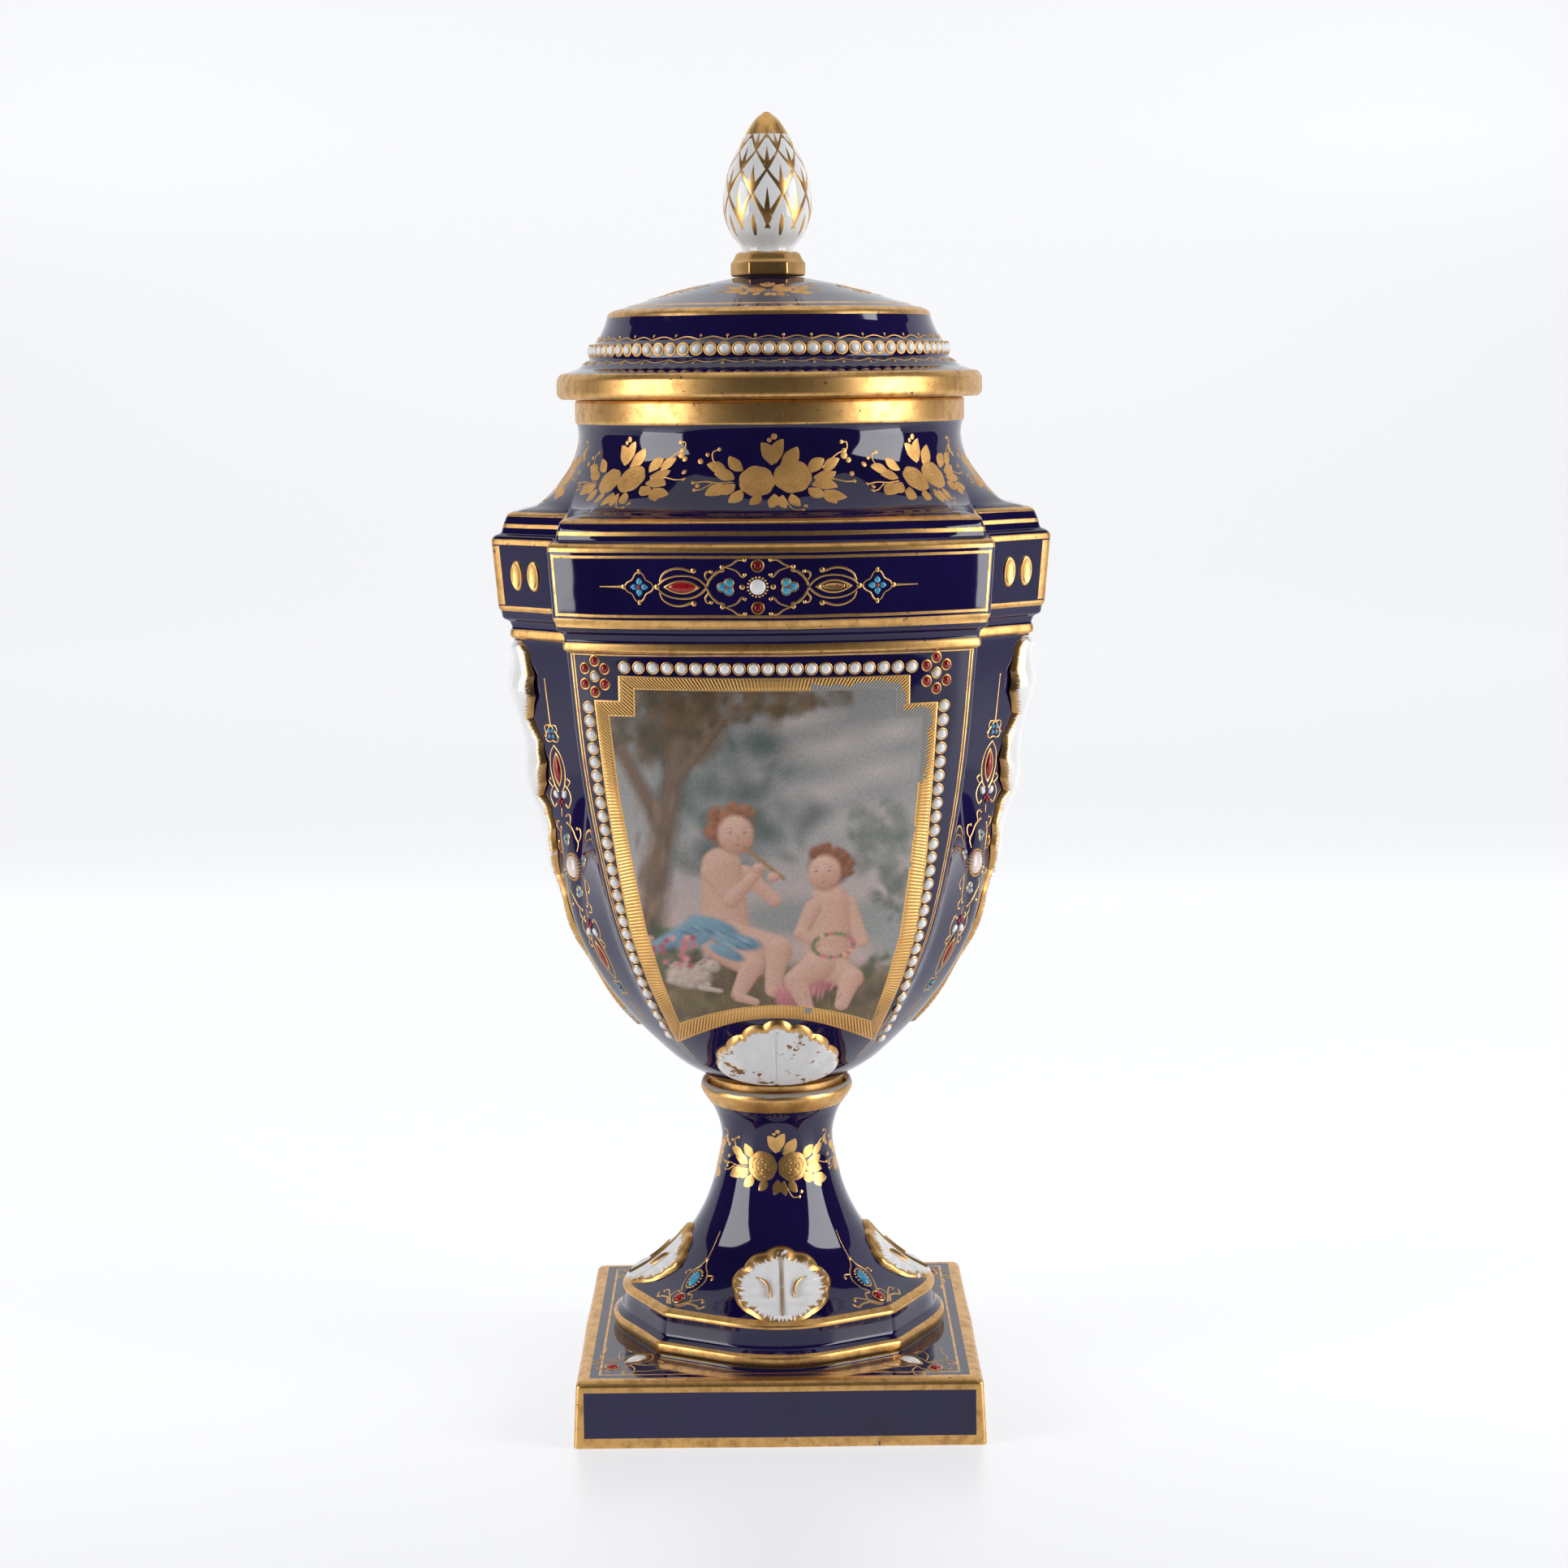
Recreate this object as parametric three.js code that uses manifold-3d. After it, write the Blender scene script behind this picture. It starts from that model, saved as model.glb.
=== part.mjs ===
// Mantel urn: pedestal, body, lid and finial, upright on the plinth, painted front towards -Y.
// Millimetres, +Z up, origin at the centre of the plinth's underside.
import * as THREE from "three";
import Module from "manifold-3d";

const wasm = await Module();
wasm.setup();
const { Manifold, Mesh } = wasm;

// Driving dimensions
const gap = 0.3;
const wall = 5;
const plinthHeight = 20.5;
const plinthHalf = 62.8;
const plinthTaper = 0.9;
const plinthBow = 0.5;
const plinthRoll = 2.4;
const footHeight = 14.4;
const footHalf = 53;
const footCorner = 37.6;
const footSlope = 28;
const footSetBack = 3.4;
const stemHeight = 64.6;
const stemRadius = 17.6;
const cupRadius = 24.2;
const cupLip = 1.9;
const cupDepth = 5.9;
const seatHeight = 7.7;
const bowlHeight = 139.6;
const bandHeight = 9.4;
const beltHeight = 21;
const beltSide = 86;
const beltDepth = 80;
const beltProud = 6.5;
const panelHalf = 65;
const panelSag = 16;
const stepDepth = 32;
const blockDepth = 14;
const lowStepDepth = 6;
const lowBlockDepth = 32;
const shoulderHeight = 7.6;
const shoulderInset = 5;
const neckHeight = 27.6;
const neckRadius = 58.9;
const collarHeight = 6.7;
const collarProud = 1;
const flangeDepth = 7.4;
const flangeWall = 4.6;
const rimRadius = 65.4;
const rimHeight = 8;
const ledgeRadius = 55;
const domeRadius = 49.4;
const domeRise = 10.4;
const lidHeight = 36.4;
const finialHeight = 49.5;
const hexRadius = 11.6;
const hexHeight = 4.3;
const budRadius = 13.6;
const budNeck = 8.2;
const leafRelief = 2.6;

// Levels, from the floor up
const footTop = plinthHeight + footHeight;
const cupRim = footTop + stemHeight;
const cupFloor = cupRim - cupDepth;
const bodyBottom = cupFloor + gap;
const seatTop = bodyBottom + seatHeight;
const bowlTop = seatTop + bowlHeight;
const beltBottom = bowlTop + bandHeight;
const beltTop = beltBottom + beltHeight;
const shoulderTop = beltTop + shoulderHeight;
const neckTop = shoulderTop + neckHeight;
const collarTop = neckTop + collarHeight;
const lidBottom = collarTop + gap;
const domeTop = lidBottom + lidHeight;
const finialBottom = domeTop + gap;

const radians = (degrees) => (degrees * Math.PI) / 180;
const mix = (a, b, t) => a + (b - a) * t;
const angleOf = (point) => (Math.atan2(point[0], point[1]) * 180) / Math.PI;

// The angle folded to one quarter: 0 at the front or back, 90 at a side.
function quarter(angle) {
  const half = ((angle % 180) + 180) % 180;
  return half > 90 ? 180 - half : half;
}

// The angle folded to one eighth: 0 at the middle of any of the four sides, 45 at a corner.
function eighth(angle) {
  const folded = quarter(angle);
  return folded > 45 ? 90 - folded : folded;
}

// How far a ray at the angle goes before it meets the line from a to b, given as [sideways, forwards].
function rayToLine(angle, a, b) {
  const s = Math.sin(radians(angle));
  const c = Math.cos(radians(angle));
  const dx = b[0] - a[0];
  const dy = b[1] - a[1];
  return (a[0] * dy - a[1] * dx) / (s * dy - c * dx);
}

// How far a ray at the angle goes before it meets an arc bowed forwards, centred on the middle line.
function rayToArc(angle, centre, radius) {
  const along = centre * Math.cos(radians(angle));
  return along + Math.sqrt(along ** 2 - centre ** 2 + radius ** 2);
}

const panelBow = (panelHalf ** 2 + panelSag ** 2) / (2 * panelSag);
const panelEdge = [panelHalf, beltDepth - panelSag];
const sideMiddle = [beltSide, 0];
const panelAngle = angleOf(panelEdge);

// A plan with bowed front and back panels, a step behind them, slanting corners and narrow sides.
function steppedPlan(step, block) {
  const stepFoot = [panelHalf + gap, beltDepth - panelSag - step];
  const blockEdge = [beltSide - 0.5, block];
  const [stepAngle, blockAngle] = [angleOf(stepFoot), angleOf(blockEdge)];
  const radiusAt = (angle) => {
    const a = quarter(angle);
    if (a <= panelAngle) return rayToArc(a, beltDepth - panelBow, panelBow);
    if (a <= stepAngle) return rayToLine(a, panelEdge, stepFoot);
    if (a <= blockAngle) return rayToLine(a, stepFoot, blockEdge);
    return rayToLine(a, blockEdge, sideMiddle);
  };
  return { radiusAt, stepAngle, blockAngle };
}

const beltPlan = steppedPlan(stepDepth, blockDepth);
const lowPlan = steppedPlan(lowStepDepth, lowBlockDepth);

const footTilt = radians(footSlope);
const footReach = footCorner * (Math.sin(footTilt) + Math.cos(footTilt));
const footBow = (footReach - footHalf * Math.cos(footTilt)) / (1 - Math.cos(footTilt));
const footJoin = [
  footBow * Math.sin(footTilt),
  footHalf - footBow + footBow * Math.cos(footTilt),
];

// Plan of the foot: four sides, straight near the corners and rounded in the middle.
function footPlan(angle) {
  const a = eighth(angle);
  if (a > angleOf(footJoin)) return rayToLine(a, footJoin, [footCorner, footCorner]);
  return rayToArc(a, footHalf - footBow, footBow);
}

// Plan of the plinth: a square whose sides bow out a little, corners rounded.
function plinthPlan(angle, half) {
  const a = eighth(angle);
  const side = half / Math.cos(radians(a)) - plinthBow * Math.sin(radians(2 * a));
  return Math.min(side, half * 1.404 - Math.abs(45 - a) * 0.04);
}

const at = (angle, radius, z) => [
  radius * Math.sin(radians(angle)),
  -radius * Math.cos(radians(angle)),
  z,
];

// A solid from points and faces; the faces turn anticlockwise as seen from outside.
function solid(points, faces) {
  const vertProperties = new Float32Array(points.flat());
  const triVerts = new Uint32Array(faces.flat());
  return new Manifold(new Mesh({ numProp: 3, vertProperties, triVerts }));
}

// A closed solid from rings of points, listed from the bottom up, with flat ends.
function loft(rings) {
  const count = rings[0].length;
  const last = rings.length - 1;
  const faces = [];
  const low = rings.length * count;
  for (let i = 0; i < count; i += 1) {
    const j = (i + 1) % count;
    for (let k = 0; k < last; k += 1) {
      const [a, b] = [k * count + i, k * count + j];
      faces.push([a, b, b + count], [a, b + count, a + count]);
    }
    faces.push([low, j, i], [low + 1, last * count + i, last * count + j]);
  }
  const ends = [[0, 0, rings[0][0][2]], [0, 0, rings[last][0][2]]];
  return solid([...rings.flat(), ...ends], faces);
}

// A solid of revolution from [radius, z] rows, listed from the bottom up.
function turned(rows, count) {
  const angles = Array.from({ length: count }, (_, i) => (i * 360) / count);
  return loft(rows.map(([r, z]) => angles.map((angle) => at(angle, r, z))));
}

// Rows of [radius, z, roundness] along a smooth curve through the given ones.
function eased(rows, steps) {
  const knots = rows.map((row) => new THREE.Vector3(...row));
  const path = new THREE.CatmullRomCurve3(knots, false, "centripetal");
  return path.getPoints(steps).map((p) => [p.x, p.y, p.z]);
}

// The row at a height, between the two rows next to it.
function rowAt(rows, z) {
  const k = Math.max(1, rows.findIndex((row) => row[1] >= z));
  const [a, b] = [rows[k - 1], rows[k]];
  const t = (z - a[1]) / (b[1] - a[1]);
  return a.map((value, i) => mix(value, b[i], t));
}

// All angles of a ring, from those of its first quarter, which runs from 0 to 90.
function around(first) {
  const half = [...first, ...first.slice(1, -1).reverse().map((a) => 180 - a)];
  return [...half, ...half.map((a) => a + 180)];
}

// A point lifted off a surface, square to its slope at that height.
function lifted(surface, angle, z, lift) {
  const step = 0.5;
  const slope = (surface(angle, z + step) - surface(angle, z - step)) / (2 * step);
  const tilt = Math.hypot(1, slope);
  return at(angle, surface(angle, z) + lift / tilt, z - (lift * slope) / tilt);
}

// Heights for a leaf: its ends and the rows of the surface between them, each gap in equal parts.
function levelsOf(rows, low, high, parts) {
  const between = rows.map((row) => row[1]).filter((z) => z > low + 1 && z < high - 1);
  const ends = [low, ...between, high];
  const steps = ends.slice(1).flatMap((z, i) =>
    Array.from({ length: parts }, (_, k) => mix(ends[i], z, (k + 1) / parts)),
  );
  return [low, ...steps];
}

// A raised leaf on a surface: spread gives its half width in degrees along its length from 0 to 1,
// and every other row is a little narrower, for the lobes.
function leaf(surface, middle, levels, spread, relief) {
  const across = [-1, -0.62, 0, 0.62, 1];
  const [rows, columns] = [levels.length - 1, across.length - 1];
  const points = [];
  for (const front of [true, false]) {
    levels.forEach((z, i) => {
      const t = (z - levels[0]) / (levels[rows] - levels[0]);
      const half = Math.max(0.6, spread(t) * (i % 2 === 1 ? 0.9 : 1));
      for (const s of across) {
        const fold = 1 - 0.35 * (s === 0 ? 1 : s * s);
        points.push(lifted(surface, middle + s * half, z, front ? relief * fold : -wall / 2));
      }
    });
  }
  const wide = across.length;
  const back = (rows + 1) * wide;
  const faces = [];
  const quad = (a, b, c, d) => faces.push([a, b, c], [a, c, d]);
  for (let i = 0; i < rows; i += 1) {
    for (let j = 0; j < columns; j += 1) {
      const k = i * wide + j;
      quad(k, k + 1, k + wide + 1, k + wide);
      quad(back + k, back + k + wide, back + k + wide + 1, back + k + 1);
    }
    const [l, r] = [i * wide, i * wide + columns];
    quad(l, l + wide, back + l + wide, back + l);
    quad(r, back + r, back + r + wide, r + wide);
  }
  for (let j = 0; j < columns; j += 1) {
    const top = rows * wide + j;
    quad(j, back + j, back + j + 1, j + 1);
    quad(top, top + 1, back + top + 1, back + top);
  }
  return solid(points, faces);
}

// Pedestal
const plinthTopHalf = plinthHalf - plinthTaper;
const plinthRows = [
  [plinthHalf, 0],
  [plinthTopHalf, plinthHeight - 0.6 * plinthRoll],
  [plinthTopHalf - 0.4 * plinthRoll, plinthHeight - 0.15 * plinthRoll],
  [plinthTopHalf - plinthRoll, plinthHeight],
];
const setBack = footHalf - footSetBack;
const flare = (share) => mix(stemRadius, footHalf, share);
const cupFlare = (share) => mix(stemRadius, cupRadius, share);
const up = (share) => footTop + share * stemHeight;
const footRows = [
  [footHalf - 1, plinthHeight, 0],
  [footHalf, plinthHeight + 0.14 * footHeight, 0],
  [footHalf, plinthHeight + 0.26 * footHeight, 0],
  [setBack + 0.4, plinthHeight + 0.42 * footHeight, 0],
  [setBack, plinthHeight + 0.72 * footHeight, 0],
  [setBack + 0.4, plinthHeight + 0.9 * footHeight, 0],
  ...eased(
    [
      [flare(0.86), footTop, 0.05],
      [flare(0.61), up(0.079), 0.2],
      [flare(0.335), up(0.218), 0.5],
      [flare(0.136), up(0.404), 0.9],
      [flare(0.02), up(0.621), 1],
      [stemRadius, up(0.735), 1],
      [cupFlare(0.3), up(0.85), 1],
      [cupFlare(0.83), up(0.935), 1],
      [cupRadius, up(0.97), 1],
    ],
    10,
  ),
  [cupRadius - 0.8, cupRim, 1],
];
const pedestalAngles = around([0, 10, 20, 32, 45, 58, 70, 80, 90]);
const footRadius = (angle, [radius, , round]) =>
  radius * mix(footPlan(angle) / footHalf, 1, round);
const plinthRing = ([half, z]) =>
  pedestalAngles.map((angle) => at(angle, plinthPlan(angle, half), z));
const footRing = (row) =>
  pedestalAngles.map((angle) => at(angle, footRadius(angle, row), row[1]));
const footSurface = (angle, z) => footRadius(angle, rowAt(footRows, z));
const footLeafSpread = (t) => 22 * Math.sqrt(Math.max(0, 1 - ((t - 0.35) / 0.65) ** 2));
const footLeafLevels = levelsOf(footRows, footTop, up(0.27), 2);
const footLeaves = [0, 90, 180, 270].map((middle) =>
  leaf(footSurface, middle, footLeafLevels, footLeafSpread, 0.8 * leafRelief),
);
const cupInner = cupRadius - cupLip;
const seatRadius = cupInner - 1.2;
const cup = turned(
  [
    [seatRadius + 2 * gap, cupFloor],
    [cupInner, cupRim - 0.5],
    [cupInner + 1, cupRim + 1],
  ],
  40,
);
const squareAngles = around([0, 22, 45, 68, 90]);
const plinthHollow = loft(
  [-1, plinthHeight - wall].map((z) =>
    squareAngles.map((angle) => at(angle, plinthPlan(angle, plinthTopHalf - wall), z)),
  ),
);
const stemHollowTop = cupFloor - 1.6 * wall;
const hollowRows = [0, 0.1, 0.2, 0.35, 0.5, 0.7, 1].map((share) => {
  const z = mix(footTop - wall, stemHollowTop, share);
  return [footSurface(45, z + wall) - 1.2 * wall, z];
});
const footHollow = turned(
  [[hollowRows[0][0] + 0.4 * wall, plinthHeight - wall - 1], ...hollowRows],
  24,
);
const pedestal = loft([...plinthRows.map(plinthRing), ...footRows.map(footRing)])
  .add(Manifold.union(footLeaves))
  .subtract(cup)
  .subtract(plinthHollow.add(footHollow));

// Body
const bowlRadius = beltSide - beltProud;
const swell = (share) => mix(seatRadius, bowlRadius, share);
const rise = (share) => seatTop + share * bowlHeight;
const band = (share) => bowlTop + share * bandHeight;
const shoulderRadius = beltSide - shoulderInset;
const taper = (share) => mix(neckRadius, shoulderRadius, share);
const neck = (share) => shoulderTop + share * neckHeight;
const collarRadius = neckRadius + collarProud;
const bodyRows = [
  [seatRadius, bodyBottom, 1],
  ...eased(
    [
      [seatRadius, seatTop, 1],
      [swell(0.149), rise(0.036), 1],
      [swell(0.26), rise(0.077), 0.88],
      [swell(0.425), rise(0.153), 0.66],
      [swell(0.585), rise(0.249), 0.46],
      [swell(0.735), rise(0.39), 0.24],
      [swell(0.85), rise(0.576), 0.08],
      [swell(0.935), rise(0.769), 0.01],
      [bowlRadius, bowlTop, 0],
    ],
    12,
  ),
  [bowlRadius + 1.3, band(0.06), 0],
  [bowlRadius + 1.3, band(0.27), 0],
  [bowlRadius + 0.6, band(0.36), 0],
  [bowlRadius + 1.4, band(0.57), 0],
  [mix(bowlRadius, beltSide, 0.55), band(0.68), 0],
  [mix(bowlRadius, beltSide, 0.6), band(0.92), 0],
  [beltSide - 1.8, beltBottom, 0],
  [beltSide, beltTop, 0],
  [beltSide - 0.9, beltTop + 0.16 * shoulderHeight, 0],
  [shoulderRadius + 1.9, beltTop + 0.26 * shoulderHeight, 0],
  [shoulderRadius + 1.2, beltTop + 0.63 * shoulderHeight, 0],
  [shoulderRadius, shoulderTop, 0],
  ...eased(
    [
      [taper(0.81), neck(0.05), 0.2],
      [taper(0.58), neck(0.1), 0.55],
      [taper(0.42), neck(0.2), 0.78],
      [taper(0.27), neck(0.34), 0.93],
      [taper(0.12), neck(0.51), 1],
      [taper(0.02), neck(0.72), 1],
      [neckRadius, neck(0.86), 1],
      [neckRadius + 0.5, neck(0.98), 1],
    ],
    8,
  ),
  [collarRadius, neckTop, 1],
  [collarRadius, collarTop, 1],
];
const bodyAngles = around([
  0,
  12,
  24,
  36,
  panelAngle,
  lowPlan.stepAngle,
  56,
  beltPlan.stepAngle,
  lowPlan.blockAngle,
  beltPlan.blockAngle,
  90,
]);

// The step behind the panels is deep from the belt to the upper bowl and fades out lower down.
const bodyPlan = (angle, z) => {
  const deep = THREE.MathUtils.smoothstep(z, rise(0.3), rise(0.74));
  return mix(lowPlan.radiusAt(angle), beltPlan.radiusAt(angle), deep) / beltSide;
};
const bodyRadius = (angle, [radius, z, round]) => radius * mix(bodyPlan(angle, z), 1, round);
const bodyRing = (row) =>
  bodyAngles.map((angle) => at(angle, bodyRadius(angle, row), row[1]));
const bodySurface = (angle, z) => bodyRadius(angle, rowAt(bodyRows, z));

// The long leaf of a side narrows to its tip at the bottom.
const sideLeafSpread = (t) => Math.min(15, 24 * t ** 0.6);
const sideLeafLevels = levelsOf(bodyRows, rise(0.11), bowlTop - gap, 1);
const sideLeaves = [90, 270].map((middle) =>
  leaf(bodySurface, middle, sideLeafLevels, sideLeafSpread, leafRelief),
);
const shellSpread = (t) => 27 * Math.sqrt(Math.max(0, 1 - ((t - 0.35) / 0.65) ** 2));
const shellLevels = levelsOf(bodyRows, rise(0.012), rise(0.2), 2);
const shells = [0, 180].map((middle) =>
  leaf(bodySurface, middle, shellLevels, shellSpread, leafRelief),
);
const hollowAngles = around([0, 15, 30, 43, 53, beltPlan.stepAngle, 74, 90]);
const hollowLevels = [0.05, 0.1, 0.17, 0.27, 0.4, 0.6, 0.8, 1].map(rise);
const bodyHollowRows = [
  ...hollowLevels.map((z) => rowAt(bodyRows, z)),
  [beltSide - beltProud, beltTop, 0],
  [taper(0.5), shoulderTop, 0.6],
  rowAt(bodyRows, neck(0.34)),
];
const bodyHollow = loft(
  bodyHollowRows.map((row) =>
    hollowAngles.map((angle) => at(angle, bodyRadius(angle, row) - wall, row[1])),
  ),
);
const neckInner = neckRadius - wall;
const neckHollow = turned(
  [
    [taper(0.24) - wall, neck(0.3)],
    [taper(0.1) - wall, neck(0.55)],
    [neckInner, neck(0.75)],
    [neckInner, collarTop + 1],
  ],
  40,
);
const body = loft(bodyRows.map(bodyRing))
  .add(Manifold.union([...sideLeaves, ...shells]))
  .subtract(bodyHollow.add(neckHollow));

// Lid
const flangeRadius = neckInner - gap;
const flangeInner = flangeRadius - flangeWall;
const rim = (share) => lidBottom + share * rimHeight;
const ledgeTop = lidBottom + 2 * rimHeight;
const domeEdge = domeTop - domeRise;
const ledge = (share) => mix(ledgeTop, domeEdge, share);
const dome = (share) => mix(domeEdge, domeTop, share);
const lidRows = [
  [flangeRadius, lidBottom - flangeDepth],
  [flangeRadius, lidBottom],
  [rimRadius - 1, lidBottom],
  [rimRadius, rim(0.2)],
  [rimRadius, rim(0.73)],
  [rimRadius - 1.1, rim(0.95)],
  [mix(ledgeRadius, rimRadius, 0.38), rim(1.15)],
  [mix(ledgeRadius, rimRadius, 0.02), rim(1.5)],
  [ledgeRadius, ledgeTop],
  [mix(domeRadius, ledgeRadius, 0.6), ledge(0.13)],
  [mix(domeRadius, ledgeRadius, 0.2), ledge(0.6)],
  [domeRadius, ledge(0.95)],
  [domeRadius - 0.4, dome(0)],
  [domeRadius - 2.2, dome(0.08)],
  [mix(hexRadius, domeRadius, 0.55), dome(0.5)],
  [mix(hexRadius, domeRadius, 0.25), dome(0.8)],
  [hexRadius + 0.8, domeTop],
];
const lidHollow = turned(
  [
    [flangeInner, lidBottom - flangeDepth - 1],
    [flangeInner, rim(0.3)],
    [ledgeRadius - 1.2 * wall, ledgeTop - wall],
    [domeRadius - wall, domeEdge - wall],
    [mix(hexRadius, domeRadius, 0.5) - wall / 2, dome(0.45) - wall],
    [hexRadius, domeTop - 1.1 * wall],
  ],
  24,
);
const lid = turned(lidRows, 40).subtract(lidHollow);

// Finial: a six-sided collar under a bud
const finialTop = finialBottom + finialHeight;
const hexTop = finialBottom + hexHeight;
const hexRows = [
  [hexRadius, finialBottom],
  [hexRadius, hexTop],
  [budNeck + 0.8, hexTop + 0.75 * hexHeight],
];
const bud = (share) => mix(hexTop + 0.6 * hexHeight, finialTop, share);
const budRows = eased(
  [
    [budNeck, bud(0), 0],
    [budNeck, bud(0.05), 0],
    [0.86 * budRadius, bud(0.16), 0],
    [budRadius, bud(0.33), 0],
    [0.92 * budRadius, bud(0.54), 0],
    [0.64 * budRadius, bud(0.75), 0],
    [0.3 * budRadius, bud(0.93), 0],
    [0.05 * budRadius, bud(1), 0],
  ],
  12,
);
const finial = turned(hexRows, 6).rotate([0, 0, 30]).add(turned(budRows, 16));

function meshOf(shape, name) {
  const { vertProperties, triVerts, numProp } = shape.getMesh();
  const positions = new Float32Array(triVerts.length * 3);
  triVerts.forEach((vertex, i) => {
    const start = vertex * numProp;
    positions.set(vertProperties.subarray(start, start + 3), i * 3);
  });
  const geometry = new THREE.BufferGeometry();
  geometry.setAttribute("position", new THREE.BufferAttribute(positions, 3));
  geometry.computeVertexNormals();
  const mesh = new THREE.Mesh(geometry, new THREE.MeshStandardMaterial());
  mesh.name = name;
  return mesh;
}

const pieces = { pedestal, body, lid, finial };
const urn = new THREE.Group();
Object.entries(pieces).forEach(([name, shape]) => urn.add(meshOf(shape, name)));
export default urn;
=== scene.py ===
import bpy
import math
import random
import numpy as np
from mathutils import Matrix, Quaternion, Vector


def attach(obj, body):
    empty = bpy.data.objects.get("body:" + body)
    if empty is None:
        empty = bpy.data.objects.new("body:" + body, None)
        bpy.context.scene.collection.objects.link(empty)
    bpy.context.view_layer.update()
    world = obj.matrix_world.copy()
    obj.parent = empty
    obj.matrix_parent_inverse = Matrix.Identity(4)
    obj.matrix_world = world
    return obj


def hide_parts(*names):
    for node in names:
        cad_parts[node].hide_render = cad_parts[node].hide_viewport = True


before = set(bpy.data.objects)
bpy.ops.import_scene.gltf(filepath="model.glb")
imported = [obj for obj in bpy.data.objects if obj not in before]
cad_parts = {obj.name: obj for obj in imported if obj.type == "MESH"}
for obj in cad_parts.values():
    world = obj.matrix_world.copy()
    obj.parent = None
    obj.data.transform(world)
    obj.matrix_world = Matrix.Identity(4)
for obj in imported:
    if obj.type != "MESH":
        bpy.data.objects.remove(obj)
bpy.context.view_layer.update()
mm = 0.001

# sizes in millimetres, as the solids have them
foot = {
    "plinthHeight": 20.5, "plinthHalf": 62.8, "plinthTaper": 0.9, "plinthBow": 0.5, "plinthRoll": 2.4,
    "rimHeight": 14.4, "half": 53, "corner": 37.6, "slope": 28, "setBack": 3.4,
    "stemHeight": 64.6, "stemRadius": 17.6, "cupRadius": 24.2, "cupLip": 1.9, "cupDepth": 5.9,
}
vase = {
    "seatHeight": 7.7, "bowlHeight": 139.6, "bandHeight": 9.4, "beltHeight": 21, "beltSide": 86,
    "beltDepth": 80, "beltProud": 6.5, "panelHalf": 65, "panelSag": 16, "stepDepth": 32, "blockDepth": 14,
    "lowStepDepth": 6, "lowBlockDepth": 32,
    "shoulderHeight": 7.6, "shoulderInset": 5, "neckHeight": 27.6, "neckRadius": 58.9,
    "collarHeight": 6.7, "collarProud": 1, "wall": 5, "gap": 0.3,
}
cover = {
    "rimRadius": 65.4, "rimHeight": 8, "ledgeRadius": 55, "domeRadius": 49.4, "domeRise": 10.4,
    "height": 36.4, "flangeDepth": 7.4, "flangeWall": 4.6,
}
knob = {"height": 49.5, "hexRadius": 11.6, "hexHeight": 4.3, "budRadius": 13.6, "budNeck": 8.2}

footTop = foot["plinthHeight"] + foot["rimHeight"]
cupRim = footTop + foot["stemHeight"]
bodyBottom = cupRim - foot["cupDepth"] + vase["gap"]
seatTop = bodyBottom + vase["seatHeight"]
bowlTop = seatTop + vase["bowlHeight"]
beltBottom = bowlTop + vase["bandHeight"]
beltTop = beltBottom + vase["beltHeight"]
shoulderTop = beltTop + vase["shoulderHeight"]
neckTop = shoulderTop + vase["neckHeight"]
collarTop = neckTop + vase["collarHeight"]
lidBottom = collarTop + vase["gap"]
domeTop = lidBottom + cover["height"]
finialBottom = domeTop + vase["gap"]


def mix(a, b, t):
    return a + (b - a) * t


# ---- plan shapes: radius at an angle in degrees, 0 at the painted front, 90 at a side
def quarter(angle):
    half = np.mod(angle, 180.0)
    return np.where(half > 90, 180 - half, half)


def eighth(angle):
    folded = quarter(angle)
    return np.where(folded > 45, 90 - folded, folded)


def rayToLine(angle, a, b):
    s, c = np.sin(np.radians(angle)), np.cos(np.radians(angle))
    dx, dy = b[0] - a[0], b[1] - a[1]
    return (a[0] * dy - a[1] * dx) / (s * dy - c * dx)


def rayToArc(angle, centre, radius):
    along = centre * np.cos(np.radians(angle))
    return along + np.sqrt(along ** 2 - centre ** 2 + radius ** 2)


def angleOf(point):
    return math.degrees(math.atan2(point[0], point[1]))


def rounded(plan, blur):  # a closed plan with its corners eased by a blur in degrees
    fine = np.arange(-30, 390, 0.05)
    reach = int(blur * 3 / 0.05)
    kernel = np.exp(-0.5 * (np.arange(-reach, reach + 1) * 0.05 / blur) ** 2)
    values = np.convolve(plan(fine), kernel / kernel.sum(), mode="same")
    return lambda angle: np.interp(np.mod(angle, 360.0), fine, values)


panelDepth = vase["beltDepth"] - vase["panelSag"]
panelBow = (vase["panelHalf"] ** 2 + vase["panelSag"] ** 2) / (2 * vase["panelSag"])
panelEdge = (vase["panelHalf"], panelDepth)
panelAngle = angleOf(panelEdge)


def stepFootAt(step):
    return vase["panelHalf"] + 0.3, panelDepth - step


def blockEdgeAt(depth):
    return vase["beltSide"] - 0.5, depth


stepAngle, blockAngle = angleOf(stepFootAt(vase["stepDepth"])), angleOf(blockEdgeAt(vase["blockDepth"]))


def steppedPlan(step, block):  # bowed panels, a step behind them, slanting corners and narrow sides
    stepFoot, blockEdge = stepFootAt(step), blockEdgeAt(block)

    def radiusAt(angle):
        a = quarter(angle)
        shape = rayToArc(a, vase["beltDepth"] - panelBow, panelBow)
        shape = np.where(a > panelAngle, rayToLine(a, panelEdge, stepFoot), shape)
        shape = np.where(a > angleOf(stepFoot), rayToLine(a, stepFoot, blockEdge), shape)
        side = rayToLine(a, blockEdge, (vase["beltSide"], 0))
        return np.where(a > angleOf(blockEdge), side, shape) / vase["beltSide"]
    return radiusAt


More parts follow.
